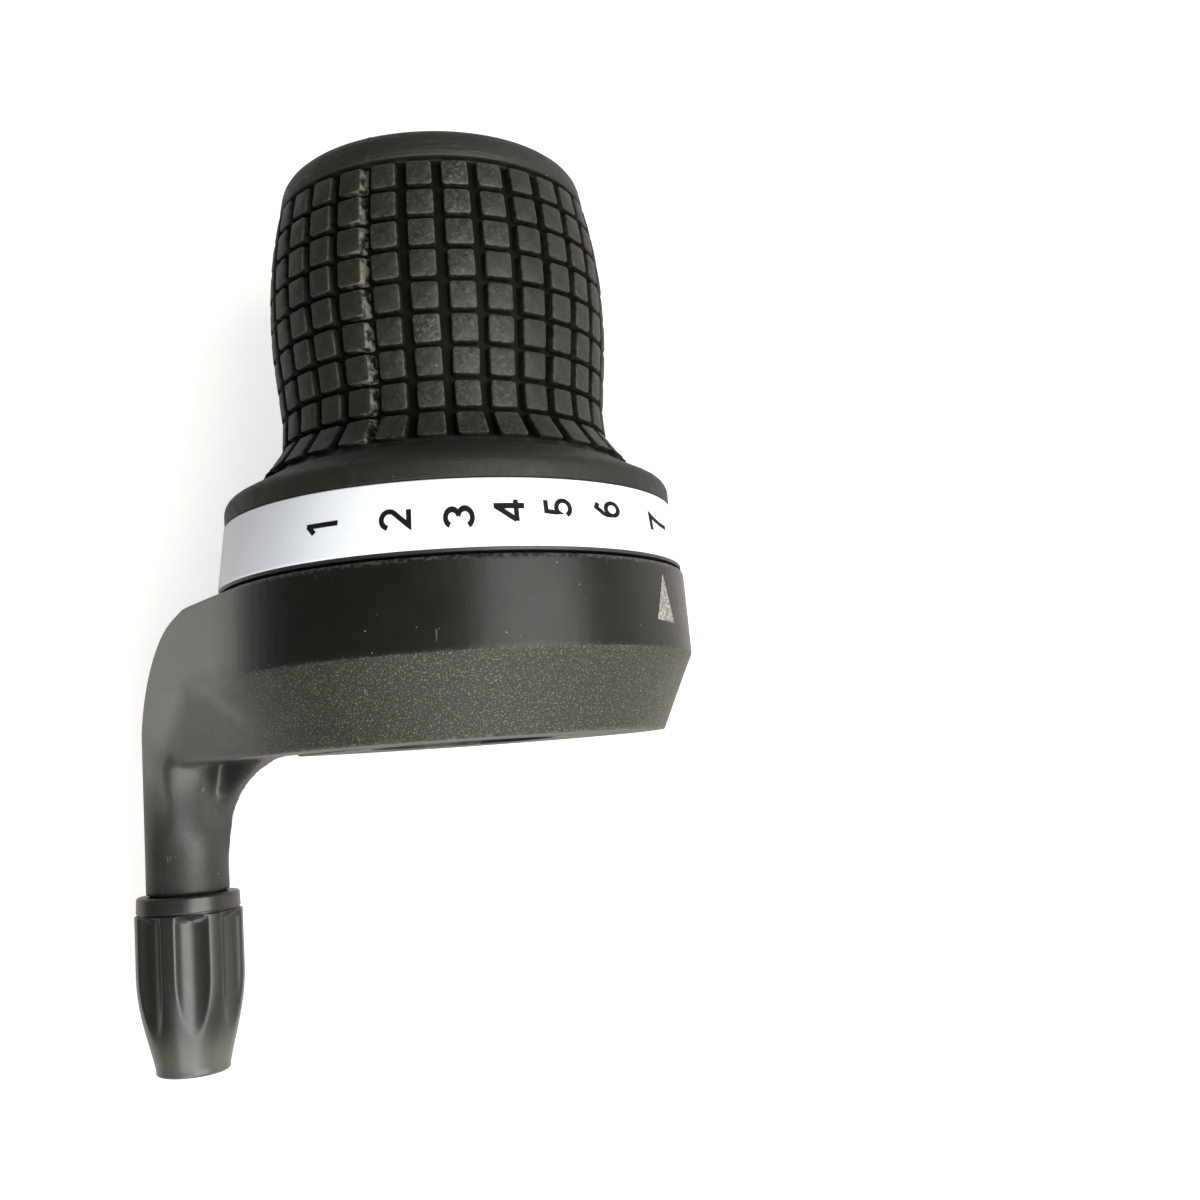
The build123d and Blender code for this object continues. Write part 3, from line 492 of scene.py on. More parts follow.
def grip_core():
    """Skirt, barrel floor and lip as one rubber moulding."""
    low = [
        (GRIP_BORE, GRIP_LOW, 0.0),
        (SKIRT_R, GRIP_LOW, 0.25),
        (SKIRT_R, SKIRT_EDGE, 1.6),
        (SKIRT_TOP_R, SKIRT_TOP, 0.45),
    ]
    heights = [SKIRT_TOP + 0.45 + (LIP_LOW - 0.5 - SKIRT_TOP - 0.45) * i / 40 for i in range(41)]
    floor = [(barrel_r(y) - BLOCK_HEIGHT, y, 0.0) for y in heights]
    lip_r = barrel_r(LIP_LOW)
    high = [
        (lip_r - BLOCK_HEIGHT, LIP_LOW, 0.2),
        (lip_r, LIP_LOW, 0.3),
        (lip_r - 0.7, GRIP_TOP, 2.5),
        (GRIP_BORE, GRIP_TOP, 0.3),
    ]
    return lathe("grip_core", rounded(low + floor + high), 360, swell=parting_line)


def block_form():
    """One rubber block in cell units: x and y across the cell, z its height in metres."""
    mesh = bpy.data.meshes.new("grip_block_form")
    bm = bmesh.new()
    width, length, height = 0.71, 0.83, BLOCK_HEIGHT * MM
    layers = ((0.035, -0.25), (0.004, 0.80), (-0.016, 0.95), (-0.055, 1.0))
    corner = 0.085
    turns = (8.0, 45.0, 82.0)
    loops = []
    for grow, rise in layers:
        loop = []
        for quarter in range(4):
            for turn in turns:
                a = math.radians(turn + 90.0 * quarter)
                side_x = 1 if quarter in (0, 3) else -1
                side_y = 1 if quarter in (0, 1) else -1
                x = side_x * (width / 2 + grow - corner) + corner * math.cos(a)
                y = side_y * (length / 2 + grow - corner) + corner * math.sin(a)
                loop.append(bm.verts.new((x, y, rise * height)))
        loops.append(loop)
    count = len(loops[0])
    for lower, upper in zip(loops, loops[1:]):
        for i in range(count):
            j = (i + 1) % count
            bm.faces.new((lower[i], lower[j], upper[j], upper[i]))
    middle = bm.verts.new((0.0, 0.0, height * 1.012))
    for i in range(count):
        bm.faces.new((loops[-1][i], loops[-1][(i + 1) % count], middle))
    bm.faces.new(list(reversed(loops[0])))
    bm.to_mesh(mesh)
    bm.free()
    up = mesh.attributes.new("top", "FLOAT", "POINT")
    # Rims are marked for lightening in the shader: part wear, part painted highlight.
    rim_wear_and_sheen = mesh.attributes.new("rim_wear_and_sheen", "FLOAT", "POINT")
    for i, vertex in enumerate(mesh.vertices):
        rise = vertex.co.z / height
        up.data[i].value = 1.0 if rise > 0.93 else 0.0
        rim_wear_and_sheen.data[i].value = 1.0 if 0.9 < rise < 0.97 else 0.3 if 0.7 < rise < 1.005 else 0.0
    return placed("grip_block_form", mesh)


def tree_input(tree, name, kind, value=None):
    socket = tree.interface.new_socket(name, in_out="INPUT", socket_type=kind)
    if value is not None:
        socket.default_value = value
    return socket


def painted_group(t, geometry, material):
    """Ends a geometry tree with its material."""
    painted = t.add("GeometryNodeSetMaterial", {"Geometry": geometry, "Material": material})
    t.add("NodeGroupOutput", {"Geometry": painted.outputs[0]})
    return t.tree


def block_pattern_tree():
    """Rows of blocks laid on a grid of cells, then wrapped round the crowned barrel."""
    group = bpy.data.node_groups.new("grip_block_pattern", "GeometryNodeTree")
    sizes = {
        "Columns": ("NodeSocketInt", BLOCK_COLUMNS),
        "Rows": ("NodeSocketInt", BLOCK_ROWS),
        "Column Angle": ("NodeSocketFloat", COLUMN_ANGLE),
        "First Row": ("NodeSocketFloat", FIRST_ROW),
        "Row Pitch": ("NodeSocketFloat", ROW_PITCH),
        "Block Height": ("NodeSocketFloat", BLOCK_HEIGHT),
        "Belly Radius": ("NodeSocketFloat", BELLY_R),
        "Belly Place": ("NodeSocketFloat", BELLY_AT),
        "Crown": ("NodeSocketFloat", CROWN),
        "Flare": ("NodeSocketFloat", FLARE),
        "Flare Place": ("NodeSocketFloat", FLARE_AT),
        "Flare Fade": ("NodeSocketFloat", FLARE_FADE),
        "Parted Column": ("NodeSocketFloat", PARTED_COLUMN),
        "Parted Slant": ("NodeSocketFloat", 0.085),
        "Unevenness": ("NodeSocketFloat", 1.0),
        "Seed": ("NodeSocketInt", 7),
    }
    for name, (kind, value) in sizes.items():
        tree_input(group, name, kind, value)
    tree_input(group, "Block", "NodeSocketObject")
    tree_input(group, "Rubber", "NodeSocketMaterial")
    group.interface.new_socket("Geometry", in_out="OUTPUT", socket_type="NodeSocketGeometry")
    t = Tree(group)
    given = t.add("NodeGroupInput").outputs
    columns = given["Columns"]
    rows = given["Rows"]
    grid = t.add("GeometryNodeMeshGrid")
    t.put(grid.inputs["Vertices X"], columns)
    t.put(grid.inputs["Vertices Y"], rows)
    t.put(grid.inputs["Size X"], t.sum("SUBTRACT", columns, 1.0))
    t.put(grid.inputs["Size Y"], t.sum("SUBTRACT", rows, 1.0))
    cell = t.add("ShaderNodeSeparateXYZ", {0: t.add("GeometryNodeInputPosition").outputs[0]})
    numbered = t.stored(grid.outputs["Mesh"], "column", cell.outputs[0])
    from_palm = t.sum("ABSOLUTE", t.sum("SUBTRACT", cell.outputs[0], 1.2))
    central = t.sum("MAXIMUM", t.sum("SUBTRACT", 1.0, t.sum("DIVIDE", from_palm, 2.6)), 0.12)
    chance = t.add("FunctionNodeRandomValue", data_type="FLOAT")
    t.put(chance.inputs["Seed"], given["Seed"])
    worn = t.sum("ADD", t.sum("MULTIPLY", chance.outputs["Value"], 0.6), 0.4)
    # The middle columns carry real wear and also the better light; the shader paints shade on the tops away
    # from them.
    cells = t.stored(numbered, "wear", t.sum("MULTIPLY", central, worn))
    twist = t.add("FunctionNodeRandomValue", data_type="FLOAT_VECTOR")
    t.put(twist.inputs[0], (0.0, 0.0, -0.022))
    t.put(twist.inputs[1], (0.0, 0.0, 0.022))
    t.put(twist.inputs["Seed"], t.sum("ADD", given["Seed"], 1.0))
    spread = t.add("FunctionNodeRandomValue", data_type="FLOAT_VECTOR")
    t.put(spread.inputs[0], (0.97, 0.975, 0.97))
    t.put(spread.inputs[1], (1.03, 1.02, 1.02))
    t.put(spread.inputs["Seed"], t.sum("ADD", given["Seed"], 2.0))
    uneven = t.add("ShaderNodeVectorMath", {0: twist.outputs["Value"]}, operation="SCALE")
    t.put(uneven.inputs["Scale"], given["Unevenness"])
    form = t.add("GeometryNodeObjectInfo", {"Object": given["Block"]})
    laid = t.add("GeometryNodeInstanceOnPoints")
    t.put(laid.inputs["Points"], cells)
    t.put(laid.inputs["Instance"], form.outputs["Geometry"])
    t.put(laid.inputs["Rotation"], uneven.outputs[0])
    t.put(laid.inputs["Scale"], spread.outputs["Value"])
    flat = t.add("GeometryNodeRealizeInstances", {"Geometry": laid.outputs[0]})
    place = t.add("ShaderNodeSeparateXYZ", {0: t.add("GeometryNodeInputPosition").outputs[0]})
    x, y, z = place.outputs
    column = t.add("GeometryNodeInputNamedAttribute", {"Name": "column"}, data_type="FLOAT")
    at_column = column.outputs["Attribute"]
    off = t.sum("ABSOLUTE", t.sum("SUBTRACT", at_column, given["Parted Column"]))
    parted = t.sum("LESS_THAN", off, 0.25)
    right = t.sum("GREATER_THAN", t.sum("SUBTRACT", x, at_column), 0.2)
    rise = t.sum("DIVIDE", z, t.sum("MULTIPLY", given["Block Height"], MM))
    low = t.sum("SUBTRACT", 1.0, rise)
    parted_right_wall = t.sum("MULTIPLY", parted, right)
    # The parted column's right walls are marked for a painted highlight in the shader.
    marked = t.stored(flat.outputs[0], "flash", t.sum("MULTIPLY", parted_right_wall, t.sum("LESS_THAN", rise, 0.97)))
    slant = t.sum("MULTIPLY", parted_right_wall, t.sum("MULTIPLY", low, given["Parted Slant"]))
    wide = t.sum("ADD", x, slant)
    pitch = t.sum("DIVIDE", 360.0, columns)
    turn = t.sum("RADIANS", t.sum("ADD", t.sum("MULTIPLY", wide, pitch), given["Column Angle"]))
    step = t.sum("ADD", y, t.sum("DIVIDE", t.sum("SUBTRACT", rows, 1.0), 2.0))
    along = t.sum("ADD", t.sum("MULTIPLY", step, given["Row Pitch"]), given["First Row"])
    from_belly = t.sum("SUBTRACT", along, given["Belly Place"])
    crown = t.sum("MULTIPLY", t.sum("MULTIPLY", from_belly, from_belly), given["Crown"])
    fade = t.sum("DIVIDE", t.sum("SUBTRACT", given["Flare Place"], along), given["Flare Fade"])
    flare = t.sum("MULTIPLY", t.sum("EXPONENT", fade), given["Flare"])
    top_r = t.sum("ADD", t.sum("SUBTRACT", given["Belly Radius"], crown), flare)
    floor_r = t.sum("MULTIPLY", t.sum("SUBTRACT", top_r, given["Block Height"]), MM)
    reach = t.sum("ADD", floor_r, z)
    wrapped = t.add("ShaderNodeCombineXYZ")
    t.put(wrapped.inputs[0], t.sum("MULTIPLY", reach, t.sum("SINE", turn)))
    t.put(wrapped.inputs[1], t.sum("MULTIPLY", along, MM))
    t.put(wrapped.inputs[2], t.sum("MULTIPLY", reach, t.sum("COSINE", turn)))
    round_bar = t.add("GeometryNodeSetPosition")
    t.put(round_bar.inputs["Geometry"], marked)
    t.put(round_bar.inputs["Position"], wrapped.outputs[0])
    return painted_group(t, round_bar.outputs[0], given["Rubber"])


def set_input(modifier, name, value):
    for item in modifier.node_group.interface.items_tree:
        if item.name == name and item.in_out == "INPUT":
            modifier[item.identifier] = value


def made_by(tree, name, start, inputs):
    """Plain mesh that a geometry tree makes of a start mesh."""
    holder = placed(name, start)
    modifier = holder.modifiers.new("shape", "NODES")
    modifier.node_group = tree
    for key, value in inputs.items():
        set_input(modifier, key, value)
    mesh = applied(holder)
    mesh.name = name
    return mesh


def fluted_knob_tree():
    """Soft lengthwise scoops round a turned knob."""
    group = bpy.data.node_groups.new("knob_flutes", "GeometryNodeTree")
    tree_input(group, "Geometry", "NodeSocketGeometry")
    sizes = {
        "Flutes": 7.0,
        "Flute Angle": 20.0,
        "Flute Radius": 3.2,
        "Flute Centre": 8.8,
        "Flute Top": KNOB_SHOULDER,
        "Edge Softness": 0.32,
        "Centre X": KNOB_X,
        "Centre Z": KNOB_Z,
    }
    for name, value in sizes.items():
        tree_input(group, name, "NodeSocketFloat", value)
    tree_input(group, "Plastic", "NodeSocketMaterial")
    group.interface.new_socket("Geometry", in_out="OUTPUT", socket_type="NodeSocketGeometry")
    t = Tree(group)
    given = t.add("NodeGroupInput").outputs
    place = t.add("ShaderNodeSeparateXYZ", {0: t.add("GeometryNodeInputPosition").outputs[0]})
    across = t.sum("SUBTRACT", t.sum("DIVIDE", place.outputs[0], MM), given["Centre X"])
    up = t.sum("SUBTRACT", t.sum("DIVIDE", place.outputs[2], MM), given["Centre Z"])
    radius = t.sum("SQRT", t.sum("ADD", t.sum("MULTIPLY", across, across), t.sum("MULTIPLY", up, up)))
    turn = t.sum("ARCTAN2", across, up)
    pitch = t.sum("DIVIDE", 2 * math.pi, given["Flutes"])
    from_first = t.sum("SUBTRACT", turn, t.sum("RADIANS", given["Flute Angle"]))
    nearest = t.sum("ROUND", t.sum("DIVIDE", from_first, pitch))
    off = t.sum("SUBTRACT", from_first, t.sum("MULTIPLY", pitch, nearest))
    side = t.sum("MULTIPLY", given["Flute Centre"], t.sum("SINE", off))
    room = t.sum("SUBTRACT", t.sum("POWER", given["Flute Radius"], 2.0), t.sum("MULTIPLY", side, side))
    chord = t.sum("SQRT", t.sum("MAXIMUM", room, 0.0))
    scoop = t.sum("SUBTRACT", t.sum("MULTIPLY", given["Flute Centre"], t.sum("COSINE", off)), chord)
    cut = t.sum("SMOOTH_MIN", radius, scoop, given["Edge Softness"])
    height = t.sum("DIVIDE", place.outputs[1], MM)
    below = t.ramp(t.sum("SUBTRACT", given["Flute Top"], height), -0.1, 0.5)
    kept = t.sum("SUBTRACT", 1.0, below)
    scale = t.sum("ADD", t.sum("MULTIPLY", t.sum("DIVIDE", cut, radius), below), kept)
    new_x = t.sum("ADD", t.sum("MULTIPLY", across, scale), given["Centre X"])
    new_z = t.sum("ADD", t.sum("MULTIPLY", up, scale), given["Centre Z"])
    moved = t.add("ShaderNodeCombineXYZ")
    t.put(moved.inputs[0], t.sum("MULTIPLY", new_x, MM))
    t.put(moved.inputs[1], place.outputs[1])
    t.put(moved.inputs[2], t.sum("MULTIPLY", new_z, MM))
    shaped = t.add("GeometryNodeSetPosition")
    t.put(shaped.inputs["Geometry"], given["Geometry"])
    t.put(shaped.inputs["Position"], moved.outputs[0])
    whole = t.add("GeometryNodeRealizeInstances", {"Geometry": shaped.outputs[0]})
    return painted_group(t, whole.outputs[0], given["Plastic"])


def knob_blank():
    """Turned knob before its flutes: collar, thin line, barrel, long bulged taper, socket for the bolt."""
    taper_top = KNOB_SHOULDER - 7.2
    mouth_r, inner_r, spigot_r, spigot_deep = 3.95, 3.3, 4.55, 1.95
    line_r, line_wide = 6.1, 0.22
    side = []
    for i in range(25):
        s = i / 24
        y = KNOB_END + 0.7 + (taper_top - KNOB_END - 0.7) * s
        side.append((KNOB_TIP_R + (KNOB_R - KNOB_TIP_R) * math.sin(s * math.pi / 2) ** 1.15, y, 0.0))
    barrel = [(KNOB_R, taper_top + (KNOB_SHOULDER - 0.3 - taper_top) * i / 16, 0.0) for i in range(1, 16)]
    corners = [(mouth_r, KNOB_END, 0.25), (KNOB_TIP_R, KNOB_END, 0.4)] + side + barrel
    corners += [
        (KNOB_R, KNOB_SHOULDER, 0.18),
        (line_r, KNOB_SHOULDER, 0.0),
        (line_r, KNOB_SHOULDER + line_wide, 0.0),
        (6.42, KNOB_SHOULDER + line_wide, 0.12),
        (6.38, KNOB_TOP - 1.2, 0.0),
        (6.35, KNOB_TOP, 0.35),
        (spigot_r, KNOB_TOP, 0.15),
        (spigot_r, KNOB_TOP - spigot_deep, 0.0),
        (inner_r, KNOB_TOP - spigot_deep, 0.0),
        (inner_r, KNOB_SOCKET_LOW, 0.0),
        (mouth_r, KNOB_SOCKET_LOW, 0.0),
    ]
    return lathe("adjuster_knob_look", rounded(corners), 224, (KNOB_X, KNOB_Z))


def on_arm(out, up, y):
    """Place from the arm's own sizes: out along the arm and up across it from the bar's axis."""
    return Vector((-ARM_COS * out - ARM_SIN * up, y, -ARM_SIN * out + ARM_COS * up)) * MM


def closed_body(bm, loops):
    """Body through equal loops of points, closed at both ends."""
    rings = [[bm.verts.new(place) for place in loop] for loop in loops]
    count = len(rings[0])
    for here, there in zip(rings, rings[1:]):
        for i in range(count):
            j = (i + 1) % count
            bm.faces.new((here[i], here[j], there[j], there[i]))
    bm.faces.new(list(reversed(rings[0])))
    bm.faces.new(rings[-1])


def arm_top(out, y):
    """Height of the arm's outer face, which leans in a little towards the ring."""
    lean = HOUSING_DRAFT * max(0.0, (y - SIDE_LOW) / SIDE_LENGTH)
    return NOSE_UP + NOSE_R - lean * max(0.0, 1.0 - out / NOSE_OUT)


# The free edge of the web in the arm's inner corner, and the arm's back from the ring to the nose: out and y
WEB_EDGE = [(9.6, 0.0), (13.0, -0.25), (16.0, -0.95), (18.5, -1.7), (20.6, -2.4), (22.6, -3.15)]
WEB_EDGE += [(24.2, -3.95), (25.7, -4.8), (26.9, -5.7), (27.9, -6.7), (28.6, -7.9), (29.2, -9.3)]
WEB_EDGE += [(29.8, -10.8), (30.6, -12.3)]
ARM_BACK = [(9.0, 18.1), (13.0, 18.3), (16.0, 18.35), (18.0, 18.15), (20.3, 17.5), (23.8, 16.4)]
ARM_BACK += [(25.8, 15.3), (28.3, 12.5), (30.3, 10.2), (31.8, 8.6), (33.0, 4.3), (33.3, 0.0)]


def inner_web(bm):
    """Curved plate in the corner between the housing's end face and the nose."""
    web = WEB_EDGE + [(31.6, -13.6), (NOSE_OUT, -14.6), (NOSE_OUT, 1.0), (WEB_EDGE[0][0], 1.0)]
    closed_body(bm, [[on_arm(out, up, y) for out, y in web] for up in (WEB_LOW, WEB_TOP)])


def web_fillet(bm):
    """Hollow slope from the web's face up to the nose, outside the adjuster's thread."""
    inside, top_up, low_up = 29.2, 22.6, WEB_LOW + 0.5
    loops = []
    for i in range(23):
        y = 0.6 - 0.4 * i
        foot = 24.6
        for a, b in zip(WEB_EDGE, WEB_EDGE[1:]):
            if b[1] <= y <= a[1]:
                foot = max(foot, a[0] + (b[0] - a[0]) * (a[1] - y) / (a[1] - b[1]))
        foot += 0.15
        top = max(NOSE_OUT - NOSE_R + 0.03, foot - 0.2)
        slope = [(top, top_up), (0.6 * top + 0.4 * foot, 21.3), (foot, WEB_TOP - 0.1)]
        side = slope + [(foot, low_up), (inside, low_up), (inside, top_up)]
        loops.append([on_arm(out, up, y) for out, up in side])
    closed_body(bm, loops)


def arm_shoulder(bm):
    """Thin band under the arm's outer face that fills its back out to the full curve."""
    band = ARM_BACK + [(out - 1.6, y - 1.2) for out, y in reversed(ARM_BACK)]
    closed_body(bm, [[on_arm(out, arm_top(out, y) - drop, y) for out, y in band] for drop in (1.6, 0.06)])


def nose_swell(bm):
    """Shell round the nose that grows towards the arm until it runs into the arm's face."""
    inner_r = 4.4
    loops = []
    for i in range(17):
        y = (NOSE_BLEND + 0.8) * i / 16 - NOSE_BLEND
        share = min(1.0, 1.0 + y / NOSE_BLEND)
        share *= share * (3.0 - 2.0 * share)
        outer = []
        inner = []
        for k in range(37):
            turn = 4.0 * k - 12.0
            wide = NOSE_R / math.cos(math.radians(max(0.0, min(turn, 58.0))))
            fade = min(1.0, max(0.0, (turn - 80.0) / 46.0))
            wide += (NOSE_R - wide) * fade * fade * (3.0 - 2.0 * fade)
            r = NOSE_R + (wide - NOSE_R) * share - 0.03
            a = math.radians(turn)
            outer.append(on_arm(NOSE_OUT - r * math.sin(a), NOSE_UP + r * math.cos(a), y))
            inner.append(on_arm(NOSE_OUT - inner_r * math.sin(a), NOSE_UP + inner_r * math.cos(a), y))
        loops.append(outer + inner[::-1])
    closed_body(bm, loops)


def arm_blends():
    """The forms that run the arm, its inner corner and the nose into each other."""
    bm = bmesh.new()
    inner_web(bm)
    web_fillet(bm)
    arm_shoulder(bm)
    nose_swell(bm)
    return outward(bm, "arm_blends")


def mark_arm(holder):
    """Vertex groups for easing: the whole arm, and more strongly its bend and the web."""
    arm = holder.vertex_groups.new(name="arm")
    bend = holder.vertex_groups.new(name="bend")
    nose_end = -15.4
    for vertex in holder.data.vertices:
        x, y, z = vertex.co / MM
        out = -ARM_COS * x - ARM_SIN * z
        up = -ARM_SIN * x + ARM_COS * z
        if out > 8.0 and up > 12.0 and y > nose_end:
            arm.add([vertex.index], min(1.0, (out - 8.0) / 6.0), "REPLACE")
            low = 20.6 - 3.6 * min(1.0, max(0.0, -y / 1.5))
            if up > low and out > 14.0 and y < 5.0:
                across = min((out - 14.0) / 5.0, (up - low) / 1.5)
                along = min((y - nose_end) / 4.0, (5.0 - y) / 3.0)
                bend.add([vertex.index], max(0.0, min(1.0, across, along)), "REPLACE")


def moulded_housing():
    """The housing's solid with its edges eased and the arm's faces run into each other as a moulding's do."""
    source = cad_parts["housing_shell"].data.copy()
    bm = bmesh.new()
    bm.from_mesh(source)
    bmesh.ops.remove_doubles(bm, verts=bm.verts, dist=1e-7)
    bm.from_mesh(arm_blends())
    bm.to_mesh(source)
    bm.free()
    source.materials.clear()
    holder = placed("housing_look", source)
    cells = holder.modifiers.new("cells", "REMESH")
    cells.mode = "VOXEL"
    cells.voxel_size = HOUSING_CELL * MM
    holder = placed("housing_look", applied(holder))
    mark_arm(holder)
    for group, turns in (("", 3), ("arm", 5), ("bend", 45)):
        ease = holder.modifiers.new("ease", "SMOOTH")
        ease.factor = 0.5
        ease.iterations = turns
        ease.vertex_group = group
    thin = holder.modifiers.new("thin", "DECIMATE")
    thin.ratio = min(1.0, HOUSING_FACES / (2 * len(holder.data.polygons)))
    mesh = applied(holder)
    mark_edges(mesh)
    return mesh


def mark_edges(mesh):
    """Stores how sharply each point stands out from its neighbours, for worn edges."""
    count = len(mesh.vertices)
    place = np.empty(3 * count)
    normal = np.empty(3 * count)
    ends = np.empty(2 * len(mesh.edges), dtype=np.int32)
    mesh.vertices.foreach_get("co", place)
    mesh.vertices.foreach_get("normal", normal)
    mesh.edges.foreach_get("vertices", ends)
    place = place.reshape(-1, 3) / MM
    normal = normal.reshape(-1, 3)
    first, last = ends.reshape(-1, 2).T
    here = np.concatenate((first, last))
    there = np.concatenate((last, first))
    number = np.maximum(np.bincount(here, minlength=count), 1)
    step = place[there] - place[here]
    drop = -2.0 * (step * normal[here]).sum(axis=1) / np.maximum((step * step).sum(axis=1), 0.01)
    bend = np.bincount(here, weights=drop, minlength=count) / number
    bend = 0.5 * bend + 0.5 * np.bincount(here, weights=bend[there], minlength=count) / number
    edge = mesh.attributes.new("edge", "FLOAT", "POINT")
    edge.data.foreach_set("value", np.clip((bend - 0.25) / 0.6, 0.0, 1.0).astype(np.float32))


def finer(bm, longest):
    """Splits edges until none is longer, so that a flat print can be bent."""
    bmesh.ops.triangulate(bm, faces=bm.faces)
    for _ in range(6):
        wide = [edge for edge in bm.edges if edge.calc_length() > longest]
        if not wide:
            break
        bmesh.ops.subdivide_edges(bm, edges=wide, cuts=1)
        bmesh.ops.triangulate(bm, faces=bm.faces)


def dial_r(y):
    return DIAL_LOW_R + (DIAL_TOP_R - DIAL_LOW_R) * (y - DIAL_LOW) / (DIAL_TOP - DIAL_LOW)


def housing_r(y):
    return HOUSING_R - HOUSING_DRAFT * (y - SIDE_LOW) / SIDE_LENGTH


def arc(centre, radius, start, end, steps=14):
    """Points along part of a circle, by angles in degrees."""
    turns = [math.radians(start + (end - start) * k / steps) for k in range(steps + 1)]
    return [(centre[0] + radius * math.cos(a), centre[1] + radius * math.sin(a)) for a in turns]


# Middle lines of the pen strokes of each dial number, for a number 1 high
STROKE_HALF = 0.078
NUMBER_STROKES = {
    "1": ([(0.36, 0.0), (0.36, 1.0)], [(0.37, 0.95), (0.12, 0.76)]),
    "2": (arc((0.30, 0.68), 0.25, 165.0, -32.0) + [(0.08, 0.07), (0.58, 0.07)],),
    "3": (arc((0.29, 0.715), 0.215, 155.0, -80.0), arc((0.29, 0.30), 0.23, 82.0, -158.0)),
    "4": ([(0.45, 0.0), (0.45, 0.98)], [(0.45, 0.93), (0.06, 0.29)], [(0.02, 0.27), (0.62, 0.27)]),
    "5": ([(0.54, 0.93), (0.17, 0.93), (0.12, 0.47)] + arc((0.29, 0.32), 0.25, 128.0, -155.0),),
    "6": (
        arc((0.30, 0.31), 0.24, 180.0, -180.0, 22),
        arc((0.43, 0.46), 0.375, 191.0, 128.0, 8) + [(0.33, 0.91), (0.5, 0.83)],
    ),
    "7": ([(0.04, 0.93), (0.56, 0.93), (0.43, 0.72), (0.31, 0.4), (0.25, 0.0)],),
}


def finer_line(points, longest):
    line = [Vector(points[0])]
    for point in points[1:]:
        start, end = line[-1].copy(), Vector(point)
        parts = max(1, math.ceil((end - start).length / longest))
        line += [start.lerp(end, k / parts) for k in range(1, parts + 1)]
    return line


def pen_stroke(bm, points, half, low, top):
    """Flat closed ribbon along a line, with mitred corners and square ends."""
    line = finer_line(points, 0.16)
    rings = []
    for i, here in enumerate(line):
        ahead = (line[min(i + 1, len(line) - 1)] - here).normalized()
        behind = (here - line[max(i - 1, 0)]).normalized()
        if ahead.length < 0.5:
            ahead = behind
        if behind.length < 0.5:
            behind = ahead
        run = (ahead + behind).normalized()
        side = Vector((-run.y, run.x)) * half / max(0.45, run.dot(ahead))
        left, right = here + side, here - side
        corners = ((left, top), (left, low), (right, low), (right, top))
        rings.append([bm.verts.new((p.x, p.y, z)) for p, z in corners])
    for here, there in zip(rings, rings[1:]):
        for k in range(4):
            bm.faces.new((here[k], here[(k + 1) % 4], there[(k + 1) % 4], there[k]))
    bm.faces.new(list(reversed(rings[0])))
    bm.faces.new(rings[-1])


def numeral_mesh(word, angle, y, width, height):
    """One printed number, turned on its side and bent onto the ring."""
    bm = bmesh.new()
    for points in NUMBER_STROKES[word]:
        pen_stroke(bm, points, STROKE_HALF, -0.06, 0.03)
    left = min(v.co.x for v in bm.verts)
    right = max(v.co.x for v in bm.verts)
    for v in bm.verts:
        along = y + (v.co.x - (left + right) / 2) * width / (right - left)
        r = dial_r(along) + v.co.z
        turn = math.radians(angle) - (v.co.y - 0.5) * height / dial_r(y)
        v.co = Vector((r * math.sin(turn), along, r * math.cos(turn))) * MM
    return outward(bm, "numeral_" + word)


def pointer_mesh():
    """Printed triangle on the housing, pointing at the ring."""
    bm = bmesh.new()
    corners = ((62.45, 16.95), (57.9, 11.7), (66.4, 11.5))
    top = [bm.verts.new((a, y, 0.03)) for a, y in corners]
    low = [bm.verts.new((a, y, -0.08)) for a, y in corners]
    bm.faces.new(top)
    bm.faces.new(list(reversed(low)))
    for i in range(3):
        j = (i + 1) % 3
        bm.faces.new((top[j], top[i], low[i], low[j]))
    finer(bm, 0.8)
    for v in bm.verts:
        turn = math.radians(v.co.x)
        r = housing_r(v.co.y) + v.co.z
        v.co = Vector((r * math.sin(turn), v.co.y, r * math.cos(turn))) * MM
    return outward(bm, "pointer_print")


def dial_ring():
    corners = [
        (DIAL_LOW_R - DIAL_WALL, DIAL_LOW, 0.0),
        (DIAL_LOW_R, DIAL_LOW, 0.22),
        (DIAL_TOP_R, DIAL_TOP, 0.22),
        (DIAL_TOP_R - DIAL_WALL, DIAL_TOP, 0.0),
    ]
    return lathe("dial_ring", rounded(corners), 300)


rubber = grip_rubber_finish()
housing_black = housing_finish()
dial_white = dial_finish()
knob_black = knob_finish()
ink = numeral_finish()
silver_print = pointer_finish()
inner_black = inner_plastic_finish()
nylon = washer_finish()
steel = metal_finish("drawn_steel", tone(0.38, 0.38, 0.39), tone(0.62, 0.62, 0.63), 0.34)
brass = metal_finish("turned_brass", tone(0.52, 0.38, 0.16), tone(0.72, 0.56, 0.27), 0.32)
aluminium = metal_finish("turned_aluminium", tone(0.5, 0.5, 0.52), tone(0.68, 0.68, 0.7), 0.34)

# The grip: the core, and all the blocks in one mesh

core = grip_core()
core.materials.append(rubber)
block_object = block_form()
block_inputs = {"Block": block_object, "Rubber": rubber}
blocks = made_by(block_pattern_tree(), "grip_blocks", bpy.data.meshes.new("empty"), block_inputs)
bpy.data.objects.remove(block_object)
soften(core, 40.0)
soften(blocks, 50.0)
new_piece("grip_core", core, rubber, "grip", ("rubber_grip",))
new_piece("grip_blocks", blocks, rubber, "grip")

# The numbered ring. Each number has its angle, its place along the bar, its width and its height.

